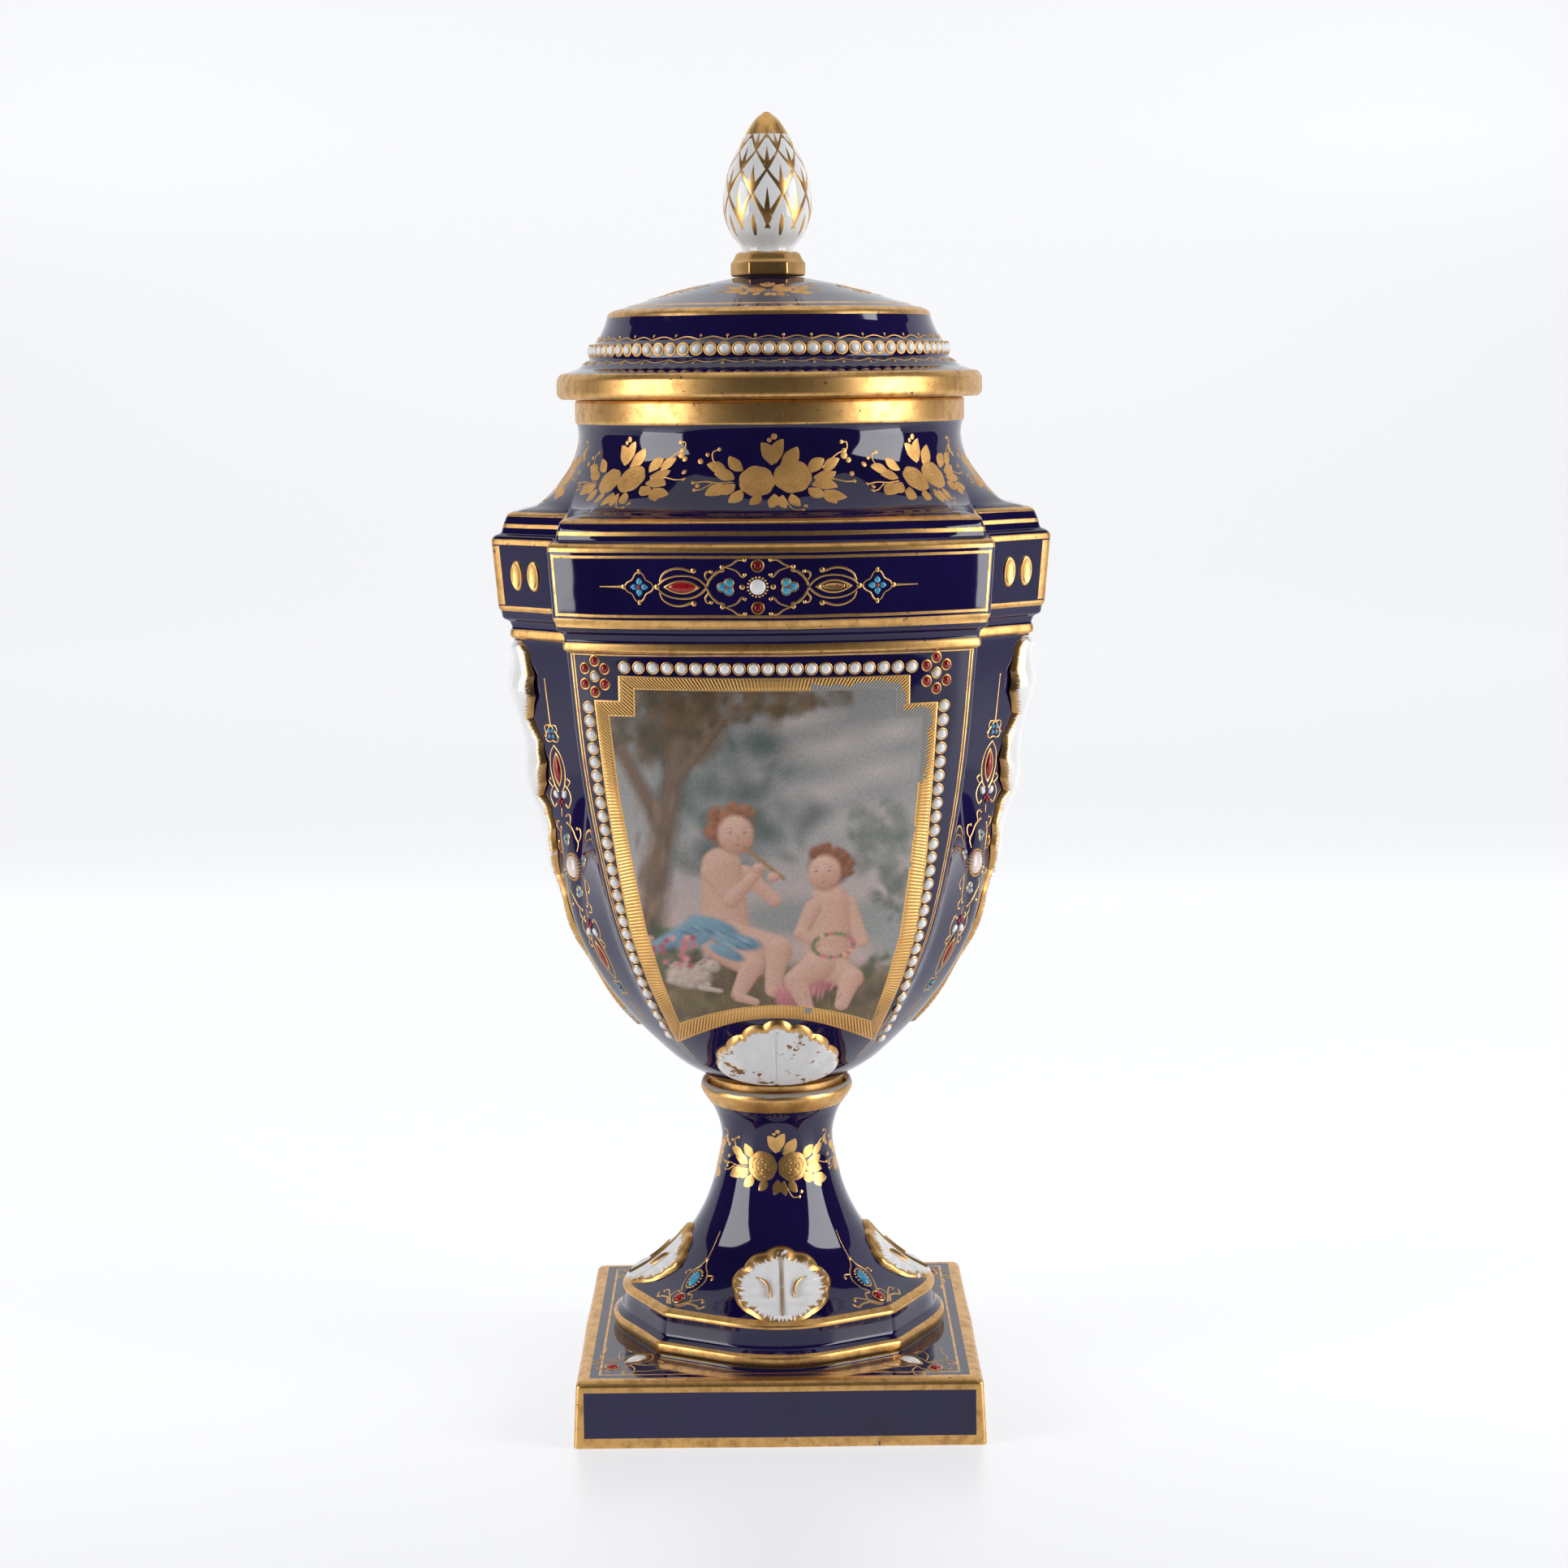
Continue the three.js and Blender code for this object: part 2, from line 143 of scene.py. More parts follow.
def sharpFoot(angle):
    a = eighth(angle)
    tilt = math.radians(foot["slope"])
    reach = foot["corner"] * (math.sin(tilt) + math.cos(tilt))
    bow = (reach - foot["half"] * math.cos(tilt)) / (1 - math.cos(tilt))
    join = (bow * math.sin(tilt), foot["half"] - bow + bow * math.cos(tilt))
    arc = rayToArc(a, foot["half"] - bow, bow)
    return np.where(a > angleOf(join), rayToLine(a, join, (foot["corner"], foot["corner"])),
                    arc) / foot["half"]


def sharpPlinth(angle):
    a = eighth(angle)
    side = 1 / np.cos(np.radians(a)) - foot["plinthBow"] / foot["plinthHalf"] * np.sin(np.radians(2 * a))
    return np.minimum(side, 1.404 - np.abs(45 - a) * 0.0007)


beltPlan = rounded(steppedPlan(vase["stepDepth"], vase["blockDepth"]), 0.5)
lowPlan = rounded(steppedPlan(vase["lowStepDepth"], vase["lowBlockDepth"]), 0.9)
footPlan = rounded(sharpFoot, 1.3)
plinthPlan = rounded(sharpPlinth, 0.5)


# ---- profiles: rows of radius, height and roundness
def eased(rows, perSpan):  # a smooth curve through the rows
    knots = np.array(rows, float)
    ends = np.vstack([2 * knots[0] - knots[1], knots, 2 * knots[-1] - knots[-2]])
    out = []
    for i in range(len(knots) - 1):
        a, b, c, d = ends[i:i + 4]
        for t in np.linspace(0, 1, perSpan, endpoint=False):
            out.append(0.5 * (2 * b + (c - a) * t + (2 * a - 5 * b + 4 * c - d) * t ** 2
                              + (3 * b - a - 3 * c + d) * t ** 3))
    return [list(row) for row in out] + [list(knots[-1])]


def softened(rows, blur, count):  # the same profile with its arrises eased, and rows closest where it bends
    path = np.array(rows, float)
    run = np.r_[0, np.cumsum(np.hypot(np.diff(path[:, 0]), np.diff(path[:, 1])))]
    keep = np.r_[True, np.diff(run) > 1e-6]
    path, run = path[keep], run[keep]
    step = 0.1
    fine = np.arange(0, run[-1] + step / 2, step)
    dense = np.array([np.interp(fine, run, column) for column in path.T])
    reach = int(blur * 3 / step)
    kernel = np.exp(-0.5 * (np.arange(-reach, reach + 1) * step / blur) ** 2)
    kernel /= kernel.sum()
    padded = np.array([np.r_[2 * c[0] - c[reach:0:-1], c, 2 * c[-1] - c[-2:-reach - 2:-1]] for c in dense])
    smooth = np.array([np.convolve(c, kernel, mode="valid") for c in padded])
    turn = np.abs(np.gradient(np.unwrap(np.arctan2(np.gradient(smooth[1]), np.gradient(smooth[0])))))
    weight = np.cumsum(0.35 + np.minimum(turn * 60, 6))
    picks = np.interp(np.linspace(weight[0], weight[-1], count), weight, np.arange(len(weight)))
    return np.array([np.interp(picks, np.arange(len(fine)), c) for c in smooth]).T


def flare(share):
    return mix(foot["stemRadius"], foot["half"], share)


def cupFlare(share):
    return mix(foot["stemRadius"], foot["cupRadius"], share)


def up(share):
    return footTop + share * foot["stemHeight"]


def onRim(share):
    return foot["plinthHeight"] + share * foot["rimHeight"]


setBack = foot["half"] - foot["setBack"]
footRows = softened([
    [foot["half"] - 0.2, foot["plinthHeight"] - 0.4, 0], [foot["half"] - 0.8, onRim(0.03), 0],
    [foot["half"], onRim(0.14), 0], [foot["half"], onRim(0.28), 0],
    [setBack + 0.4, onRim(0.42), 0], [setBack, onRim(0.72), 0], [setBack + 0.4, onRim(0.9), 0],
    *eased([
        [flare(0.86), footTop, 0.05], [flare(0.61), up(0.079), 0.2], [flare(0.335), up(0.218), 0.5],
        [flare(0.136), up(0.404), 0.9], [flare(0.02), up(0.621), 1], [foot["stemRadius"], up(0.735), 1],
        [cupFlare(0.3), up(0.85), 1], [cupFlare(0.83), up(0.935), 1], [foot["cupRadius"], up(0.97), 1],
    ], 6),
    [foot["cupRadius"] - 0.8, cupRim, 1],
], 0.45, 150)

seatRadius = foot["cupRadius"] - foot["cupLip"] - 1.2
bowlRadius = vase["beltSide"] - vase["beltProud"]
shoulderRadius = vase["beltSide"] - vase["shoulderInset"]
collarRadius = vase["neckRadius"] + vase["collarProud"]


def swell(share):
    return mix(seatRadius, bowlRadius, share)


def rise(share):
    return seatTop + share * vase["bowlHeight"]


def band(share):
    return bowlTop + share * vase["bandHeight"]


def taper(share):
    return mix(vase["neckRadius"], shoulderRadius, share)


def neck(share):
    return shoulderTop + share * vase["neckHeight"]


bodyRows = softened([
    [seatRadius, bodyBottom, 1],
    *eased([
        [seatRadius, seatTop, 1], [swell(0.149), rise(0.036), 1], [swell(0.26), rise(0.077), 0.88],
        [swell(0.425), rise(0.153), 0.66], [swell(0.585), rise(0.249), 0.46],
        [swell(0.735), rise(0.39), 0.24],
        [swell(0.85), rise(0.576), 0.08], [swell(0.935), rise(0.769), 0.01], [bowlRadius, bowlTop, 0],
    ], 8),
    [bowlRadius + 1.3, band(0.06), 0], [bowlRadius + 1.3, band(0.27), 0], [bowlRadius + 0.6, band(0.36), 0],
    [bowlRadius + 1.4, band(0.57), 0], [mix(bowlRadius, vase["beltSide"], 0.55), band(0.68), 0],
    [mix(bowlRadius, vase["beltSide"], 0.6), band(0.92), 0], [vase["beltSide"] - 1.8, beltBottom, 0],
    [vase["beltSide"], beltTop, 0], [vase["beltSide"] - 0.9, beltTop + 0.16 * vase["shoulderHeight"], 0],
    [shoulderRadius + 1.9, beltTop + 0.26 * vase["shoulderHeight"], 0],
    [shoulderRadius + 1.2, beltTop + 0.63 * vase["shoulderHeight"], 0], [shoulderRadius, shoulderTop, 0],
    *eased([
        [taper(0.81), neck(0.05), 0.2], [taper(0.58), neck(0.1), 0.55], [taper(0.42), neck(0.2), 0.78],
        [taper(0.27), neck(0.34), 0.93], [taper(0.12), neck(0.51), 1], [taper(0.02), neck(0.72), 1],
        [vase["neckRadius"], neck(0.86), 1], [vase["neckRadius"] + 0.5, neck(0.98), 1],
    ], 6),
    [collarRadius, neckTop, 1], [collarRadius, collarTop - 0.4, 1], [collarRadius - 0.5, collarTop, 1],
], 0.4, 250)


def rim(share):
    return lidBottom + share * cover["rimHeight"]


ledgeTop = rim(2)
domeEdge = domeTop - cover["domeRise"]


def ledge(share):
    return mix(ledgeTop, domeEdge, share)


def dome(share):
    return mix(domeEdge, domeTop, share)


def ledgeOut(share):
    return mix(cover["ledgeRadius"], cover["rimRadius"], share)


lidRows = softened([
    [cover["rimRadius"] - 1.4, lidBottom], [cover["rimRadius"] - 0.4, rim(0.08)],
    [cover["rimRadius"], rim(0.2)],
    [cover["rimRadius"], rim(0.73)], [cover["rimRadius"] - 1.1, rim(0.95)], [ledgeOut(0.38), rim(1.15)],
    [ledgeOut(0.02), rim(1.5)], [cover["ledgeRadius"], ledgeTop],
    [mix(cover["domeRadius"], cover["ledgeRadius"], 0.6), ledge(0.13)],
    [mix(cover["domeRadius"], cover["ledgeRadius"], 0.2), ledge(0.6)],
    [cover["domeRadius"], ledge(0.95)], [cover["domeRadius"] - 0.4, dome(0)],
    [cover["domeRadius"] - 2.2, dome(0.08)],
    [mix(knob["hexRadius"], cover["domeRadius"], 0.55), dome(0.5)],
    [mix(knob["hexRadius"], cover["domeRadius"], 0.25), dome(0.8)], [knob["hexRadius"] + 0.8, domeTop - 0.3],
    [knob["hexRadius"] - 1, domeTop],
], 0.45, 110)
finialTop = finialBottom + knob["height"]
hexTop = finialBottom + knob["hexHeight"]


def bud(share):
    return mix(hexTop + 0.6 * knob["hexHeight"], finialTop, share)


budRows = softened(eased([
    [knob["budNeck"], bud(0)], [knob["budNeck"], bud(0.05)], [0.86 * knob["budRadius"], bud(0.16)],
    [knob["budRadius"], bud(0.33)], [0.92 * knob["budRadius"], bud(0.54)],
    [0.64 * knob["budRadius"], bud(0.75)],
    [0.3 * knob["budRadius"], bud(0.93)], [0.05 * knob["budRadius"], bud(1)],
], 10), 0.3, 120)


def surfaceOf(rows, plan):  # radius at an angle and a height, for a profile with a plan
    order = np.argsort(rows[:, 1], kind="stable")
    heights, radii = rows[order, 1], rows[order, 0]
    roundness = rows[order, 2] if rows.shape[1] > 2 else np.ones(len(order))
    return lambda angle, z: np.interp(z, heights, radii) * (
        1 + (plan(angle, z) - 1) * (1 - np.interp(z, heights, roundness)))


def bodyPlan(angle, z):  # the step is deep from the belt to the upper bowl and fades out lower down
    t = np.clip((z - rise(0.3)) / (rise(0.74) - rise(0.3)), 0, 1)
    return mix(lowPlan(angle), beltPlan(angle), t * t * (3 - 2 * t))


bodySurface = surfaceOf(bodyRows, bodyPlan)
footSurface = surfaceOf(footRows, lambda angle, z: footPlan(angle))
lidSurface = surfaceOf(lidRows, lambda angle, z: np.ones_like(angle))


def place(angle, radius, z):
    turn = np.radians(angle)
    return np.stack([radius * np.sin(turn), -radius * np.cos(turn), z + 0 * radius], axis=-1)


def lifted(surface, angle, z, lift):  # points off a surface, square to it
    angle, z, lift = np.broadcast_arrays(np.asarray(angle, float), np.asarray(z, float),
                                         np.asarray(lift, float))
    base = place(angle, surface(angle, z), z)
    across = place(angle + 0.4, surface(angle + 0.4, z), z) - place(angle - 0.4, surface(angle - 0.4, z), z)
    upward = place(angle, surface(angle, z + 0.3), z + 0.3) - place(angle, surface(angle, z - 0.3), z - 0.3)
    normal = np.cross(across, upward)
    return base + normal / np.linalg.norm(normal, axis=-1, keepdims=True) * lift[..., None]


# ---- making pieces
def freshStart():
    if bpy.context.mode != "OBJECT":
        bpy.ops.object.mode_set(mode="OBJECT")
    bpy.ops.object.select_all(action="DESELECT")


def newPiece(name, points, edges, faces):
    freshStart()
    mesh = bpy.data.meshes.new(name)
    mesh.from_pydata([tuple(p) for p in points], edges, faces)
    piece = bpy.data.objects.new(name, mesh)
    bpy.context.scene.collection.objects.link(piece)
    bpy.context.view_layer.objects.active = piece
    piece.select_set(True)
    return piece


def spun(name, rows, columns):  # a profile spun round the middle line, with its ends closed on it
    profile = [(0.0, rows[0][1])] + [(r, z) for r, z in rows] + [(0.0, rows[-1][1])]
    points = [(r * mm, 0, z * mm) for r, z in profile]
    piece = newPiece(name, points, [(i, i + 1) for i in range(len(points) - 1)], [])
    bpy.ops.object.mode_set(mode="EDIT")
    bpy.ops.mesh.select_all(action="SELECT")
    bpy.ops.mesh.spin(steps=columns, angle=2 * math.pi, center=(0, 0, 0), axis=(0, 0, 1))
    bpy.ops.mesh.select_all(action="SELECT")
    bpy.ops.mesh.remove_doubles(threshold=2e-6)
    bpy.ops.mesh.normals_make_consistent(inside=False)
    bpy.ops.object.mode_set(mode="OBJECT")
    bpy.ops.object.shade_smooth()
    return piece


def readPoints(piece):
    flat = np.empty(len(piece.data.vertices) * 3, np.float32)
    piece.data.vertices.foreach_get("co", flat)
    return flat.reshape(-1, 3).astype(float) / mm


def writePoints(piece, points):
    piece.data.vertices.foreach_set("co", (points * mm).astype(np.float32).ravel())
    piece.data.update()


def crowded(edges, count, width):  # angles from 0 to 90, closest at the edges
    fine = np.linspace(0, 90, 3601)
    weight = 1 + sum(6 * np.exp(-((fine - e) / width) ** 2) for e in edges)
    total = np.cumsum(weight)
    return np.interp(np.linspace(total[0], total[-1], count), total, fine)


def shapePlan(piece, plan, heights, roundness, edges, columns, width=1.4):
    points = readPoints(piece)
    radius = np.hypot(points[:, 0], points[:, 1])
    angle = np.degrees(np.arctan2(points[:, 0], -points[:, 1]))
    side = np.floor(angle / 90)
    inside = angle - side * 90
    table = crowded(edges, columns // 4 + 1, width)
    flipped = np.mod(side, 2) == 1
    even = np.linspace(0, 90, columns // 4 + 1)
    moved = np.where(flipped, 90 - np.interp(90 - inside, even, table), np.interp(inside, even, table))
    angle = side * 90 + moved
    share = np.interp(points[:, 2], heights, roundness)
    radius = radius * (1 + (plan(angle, points[:, 2]) - 1) * (1 - share))
    writePoints(piece, place(angle, radius, points[:, 2]))


# ---- node wiring
class Wire:  # one socket of a node tree, with sums written as sums
    def __init__(self, tree, socket):
        self.tree, self.socket = tree, socket

    def sum(self, operation, *others, clamp=False):
        node = self.tree.nodes.new("ShaderNodeMath")
        node.operation, node.use_clamp = operation, clamp
        for slot, value in zip(node.inputs, (self, *others)):
            if isinstance(value, Wire):
                self.tree.links.new(value.socket, slot)
            else:
                slot.default_value = value
        return Wire(self.tree, node.outputs[0])

    def reflected(self, operation, other):
        node = self.tree.nodes.new("ShaderNodeMath")
        node.operation = operation
        node.inputs[0].default_value = other
        self.tree.links.new(self.socket, node.inputs[1])
        return Wire(self.tree, node.outputs[0])

    def __add__(self, other):
        return self.sum("ADD", other)

    def __sub__(self, other):
        return self.sum("SUBTRACT", other)

    def __mul__(self, other):
        return self.sum("MULTIPLY", other)

    def __truediv__(self, other):
        return self.sum("DIVIDE", other)

    def __pow__(self, other):
        return self.sum("POWER", other)

    def __rsub__(self, other):
        return self.reflected("SUBTRACT", other)

    def __rtruediv__(self, other):
        return self.reflected("DIVIDE", other)

    __radd__, __rmul__ = __add__, __mul__

    def __abs__(self):
        return self.sum("ABSOLUTE")

    def over(self, edge, soft):  # 0 below the edge and 1 above it
        return (self - edge).sum("MULTIPLY_ADD", 1 / soft, 0.5, clamp=True)

    def within(self, low, high, soft):
        return self.over(low, soft) * (1 - self.over(high, soft))

    def orElse(self, other):
        return self.sum("MAXIMUM", other)


class Finish:  # a material being wired
    def __init__(self, name):
        self.material = bpy.data.materials.new(name)
        self.material.use_nodes = True
        self.tree = self.material.node_tree
        self.tree.nodes.clear()
        self.shader = self.node("ShaderNodeBsdfPrincipled")
        out = self.node("ShaderNodeOutputMaterial")
        self.tree.links.new(self.shader.outputs[0], out.inputs[0])

    def node(self, kind, settings=None, **inputs):
        node = self.tree.nodes.new(kind)
        for key, value in (settings or {}).items():
            setattr(node, key, value)
        for key, value in inputs.items():
            self.feed(node, key.replace("_", " "), value)
        return node

    def feed(self, node, key, value):
        slot = node.inputs[int(key[1:])] if key[0] == "i" and key[1:].isdigit() else node.inputs[key]
        if isinstance(value, Wire):
            self.tree.links.new(value.socket, slot)
        else:
            slot.default_value = value

    def wire(self, node, output=0):
        return Wire(self.tree, node.outputs[output])

    def place(self):  # object coordinates in millimetres, and the angle round the middle line
        if not hasattr(self, "spot"):
            coords = self.node("ShaderNodeTexCoord")
            split = self.node("ShaderNodeSeparateXYZ", Vector=self.wire(coords, 3))
            self.spot = self.wire(coords, 3)
            self.x, self.y, self.z = (self.wire(split, i) * 1000 for i in range(3))
            self.angle = self.x.sum("ARCTAN2", self.y * -1) * (180 / math.pi)
            self.fold = 90 - abs(90 - abs(self.angle))
        return self

    def noise(self, scale, detail=3, rough=0.5, stretch=None):
        self.place()
        vector = self.spot
        if stretch:
            vector = self.wire(self.node("ShaderNodeMapping", Vector=self.spot, Scale=stretch))
        return self.wire(self.node("ShaderNodeTexNoise", Vector=vector, Scale=scale, Detail=detail,
                                   Roughness=rough))

    def blend(self, share, a, b):
        node = self.node("ShaderNodeMix", {"data_type": "RGBA"})
        for slot, value in ((node.inputs[0], share), (node.inputs[6], a), (node.inputs[7], b)):
            if isinstance(value, Wire):
                self.tree.links.new(value.socket, slot)
            else:
                slot.default_value = value if isinstance(value, float) else (*value, 1)
        return self.wire(node, 2)

    def bump(self, height, strength, distance):
        node = self.node("ShaderNodeBump", Height=height, Strength=strength, Distance=distance)
        self.feed(self.shader, "Normal", self.wire(node))

    def glaze(self, **values):
        for key, value in values.items():
            self.feed(self.shader, key.replace("_", " "), value)


tones = {
    "cobalt": (0.008, 0.004, 0.050), "cobaltDeep": (0.004, 0.002, 0.026), "gold": (0.74, 0.43, 0.15),
    "goldDeep": (0.47, 0.255, 0.085), "bare": (0.30, 0.27, 0.24), "enamel": (0.78, 0.77, 0.74),
    "milk": (0.70, 0.70, 0.72), "ruby": (0.36, 0.008, 0.012), "turquoise": (0.06, 0.36, 0.52),
    "blush": (0.72, 0.60, 0.56),
}


def giltGlaze(name, giltMask, bareFrom=400, wear=0.35):  # cobalt, satin gilding where the mask is 1
    paint = Finish(name).place()
    gilt = giltMask(paint)
    bare = (paint.z + (paint.noise(160, 3) - 0.5) * 1.6).over(bareFrom, 0.3)  # rubbed down to the clay
    worn = paint.noise(420, 4, 0.65).over(0.5 + 0.28 * (1 - wear), 0.05)
    gilt = gilt * (1 - worn * 0.85)
    cloud = paint.noise(38, 3)
    cobalt = paint.blend(cloud.over(0.55, 0.5), tones["cobalt"], tones["cobaltDeep"])
    rub = paint.noise(260, 5, 0.7)
    gold = paint.blend(rub.over(0.56, 0.22), tones["gold"], tones["goldDeep"])
    gilt = gilt * (1 - bare * 0.8)
    paint.glaze(Base_Color=paint.blend(bare, paint.blend(gilt, cobalt, gold), tones["bare"]),
                Metallic=gilt, IOR=1.52,
                Roughness=(gilt * (0.2 + rub * 0.22)).orElse(bare * 0.5) + 0.045)
    paint.bump(paint.noise(55, 2) + gilt * (0.10 + rub * 0.05), 0.16, 0.0006)
    return paint.material


def stripes(value, soft, *spans):
    masks = [value.within(low, high, soft) for low, high in spans]
    total = masks[0]
    for mask in masks[1:]:
        total = total.orElse(mask)
    return total


def bodyGilt(paint):
    z, fold = paint.z + (paint.noise(30, 2) - 0.5) * 0.7, paint.fold
    rings = stripes(z, 0.12, (90, 103.2), (241.2, 244.2), (275.3, 276.5), (278.7, 280.0), (306.5, 314))
    onBlock = fold.over(panelAngle + 0.15, 0.1)
    wide = stripes(z, 0.12, (248.7, 251.3), (270.7, 273.2)) * (1 - onBlock)
    narrow = stripes(z, 0.12, (249.9, 251.5), (270.3, 272.0)) * onBlock
    rings = rings.orElse(wide).orElse(narrow)
    belt = z.within(251.9, 269.9, 0.1)
    frameUp = fold.within(panelAngle - 1.2, panelAngle - 0.75, 0.06)
    inFront = 1 - fold.over(panelAngle - 0.7, 0.05)
    frameAcross = stripes(z, 0.1, (252.0, 252.8), (269.0, 269.8)) * inFront
    block = stripes(fold, 0.12, (stepAngle + 0.3, stepAngle + 1.2), (blockAngle - 1.7, blockAngle + 1.2))
    border = stripes(fold, 0.06, (43.75, 44.0), (44.3, 44.6)) * z.within(112, 242.4, 0.2)
    borderTop = stripes(z, 0.1, (241.4, 241.8), (240.5, 240.9)) * (1 - fold.over(44.6, 0.05))
    return rings.orElse(belt * frameUp.orElse(block)).orElse(frameAcross).orElse(border).orElse(borderTop)


# ---- body
columns = 256
wallRows = [[r - vase["wall"], z] for r, z, _ in bodyRows[::-4] if z > bodyBottom + 12]
wallRows[0][1] = collarTop
bodyOutline = [[r, z] for r, z, _ in bodyRows] + wallRows + [[14, bodyBottom + vase["wall"]]]
body = spun("vase", bodyOutline, columns)
shapePlan(body, bodyPlan, bodyRows[:, 1], bodyRows[:, 2], (panelAngle, stepAngle, blockAngle), columns)
body.data.materials.append(giltGlaze("bodyGlaze", bodyGilt))
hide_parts("body")
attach(body, "root")
print("body shaped")


# ---- pedestal
def footGilt(paint):
    z = paint.z + (paint.noise(30, 2) - 0.5) * 0.7
    radius = (paint.x ** 2 + paint.y ** 2).sum("SQRT")
    inCup = (1 - radius.over(23.3, 0.1)) * paint.z.over(93, 0.1)
    rings = stripes(z, 0.12, (21.0, 25.3), (32.6, 34.9), (95.2, 98.6)).orElse(inCup)
    reach = abs(paint.x).orElse(abs(paint.y))
    onTop = paint.z.over(20.2, 0.1) * (1 - paint.z.over(20.9, 0.1))
    line = stripes(reach, 0.08, (54.2, 54.9)) * onTop
    edge = reach.over(57.6, 0.15) * paint.z.over(17.2, 0.15) * (1 - paint.z.over(20.9, 0.1))
    low = (1 - paint.z.over(3.2, 0.15)) * reach.over(60, 0.1)
    near = abs(paint.x).sum("MINIMUM", abs(paint.y))
    corner = near.over(59.2, 0.12) * (1 - paint.z.over(19, 0.1))
    return rings.orElse(line).orElse(edge).orElse(low).orElse(corner)


pedestalColumns = 192
plinthTopHalf = foot["plinthHalf"] - foot["plinthTaper"]
plinthRows = softened([
    [foot["plinthHalf"] - 5, 0], [foot["plinthHalf"], 0], [foot["plinthHalf"], 0.8],
    [plinthTopHalf, foot["plinthHeight"] - 0.6 * foot["plinthRoll"]],
    [plinthTopHalf - 0.4 * foot["plinthRoll"], foot["plinthHeight"] - 0.15 * foot["plinthRoll"]],
    [plinthTopHalf - foot["plinthRoll"], foot["plinthHeight"]], [20, foot["plinthHeight"]],
], 0.3, 70)
plinth = spun("plinthBlock", np.vstack([[[foot["plinthHalf"] - 5, 12]], plinthRows]), pedestalColumns)
shapePlan(plinth, lambda angle, z: plinthPlan(angle), [0, 1], [0, 0], (45,), pedestalColumns, 1.2)
stemPiece = spun("footAndStem", np.vstack([
    footRows[:, :2], [[22.6, cupRim], [21.8, 97.5], [21.4, cupRim - foot["cupDepth"]]]]), pedestalColumns)
shapePlan(stemPiece, lambda angle, z: footPlan(angle), footRows[:, 1], footRows[:, 2], (45,),
          pedestalColumns, 3)
freshStart()
plinth.select_set(True)
stemPiece.select_set(True)
bpy.context.view_layer.objects.active = stemPiece
bpy.ops.object.join()
stemPiece.name = "pedestalGlazed"
stemPiece.data.materials.append(giltGlaze("pedestalGlaze", footGilt, cupRim - 1))
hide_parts("pedestal")
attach(stemPiece, "root")
print("pedestal shaped")


# ---- lid
def lidGilt(paint):
    z = paint.z + (paint.noise(30, 2) - 0.5) * 0.5
    return stripes(z, 0.12, (300, 321.6), (338.3, 340.7), (341.5, 341.95))


flange = vase["neckRadius"] - vase["wall"] - vase["gap"]
lidOutline = [[flange - cover["flangeWall"], lidBottom - cover["flangeDepth"]],
              [flange, lidBottom - cover["flangeDepth"]], [flange, lidBottom]]
lid = spun("cover", np.vstack([lidOutline, lidRows]), 192)
lid.data.materials.append(giltGlaze("lidGlaze", lidGilt))
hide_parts("lid")
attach(lid, "root")
print("lid shaped")


# ---- finial: a gilt six-sided collar under a white bud with gold scales
def budGlaze():
    paint = Finish("budGlaze").place()
    z = paint.z
    row = (z - 364.3) * 0.082 + ((z - 364.3) ** 2) * 0.00205  # rows of scales, closer towards the tip
    turn = paint.angle / 40 + (paint.noise(90, 2) - 0.5) * 0.07
    first, second = (row * 0.5 + turn).sum("FRACT"), (row * 0.5 - turn).sum("FRACT")
    thick = 0.12 - z.over(384, 20) * 0.02
    line = (1 - first.over((1 - second) ** 2 * 0.15 + thick, 0.03)).orElse(
        1 - second.over((1 - first) ** 2 * 0.15 + thick, 0.03))
    up = (first + second) * 0.5
    spike = (1 - (abs(first - second) * 2.7 + up * 1.25).over(0.86, 0.05)) * up.over(0.1, 0.05)
    lattice = line.orElse(spike) * z.over(364.6, 0.5)
    drop = (z - 367.2) / 3.3
    lowest = 1 - (abs(turn.sum("FRACT") - 0.5) * 13 + (drop + 0.35) ** 2 * 0.9 + drop * 0.35).over(1.0, 0.12)
    tip = (row + up * 0.8).over(4.5, 0.08)
    brushed = paint.noise(420, 4, 0.7)
    gold = lattice.orElse(lowest * z.within(362.6, 370.4, 0.4)) * (1 - brushed.over(0.66, 0.05) * 0.6)
    gold = gold.orElse(tip) * z.over(357, 0.2)
    milk = paint.blend(paint.noise(60, 3), tones["enamel"], tones["milk"])
    gilt = paint.blend(paint.noise(200, 3).over(0.55, 0.3), tones["gold"], tones["goldDeep"])
    paint.glaze(Base_Color=paint.blend(gold, milk, gilt), Metallic=gold, Roughness=gold * 0.24 + 0.08,
                IOR=1.52)
    scale = (first * (1 - first) * second * (1 - second)) ** 0.5
    paint.bump(scale * 3 + gold * 0.08, 0.3, 0.0006)
    return paint.material


finial = spun("budKnob", budRows, 128)
finial.data.materials.append(budGlaze())
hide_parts("finial")
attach(finial, "root")
collar = spun("hexCollar", [
    [knob["hexRadius"] - 0.7, finialBottom], [knob["hexRadius"] - 0.05, finialBottom + 0.5],
    [knob["hexRadius"] - 0.05, hexTop - 0.2], [knob["hexRadius"] - 0.9, hexTop + 0.7],
    [knob["budNeck"] + 1.6, hexTop + 0.62 * knob["hexHeight"]],
    [knob["budNeck"] + 0.7, hexTop + 0.74 * knob["hexHeight"]],
    [knob["budNeck"] - 0.6, hexTop + 0.78 * knob["hexHeight"]]], 6)
bpy.ops.object.mode_set(mode="EDIT")
bpy.ops.mesh.select_all(action="SELECT")
bpy.ops.mesh.bevel(offset=0.00035, segments=3, affect="EDGES")
bpy.ops.object.mode_set(mode="OBJECT")
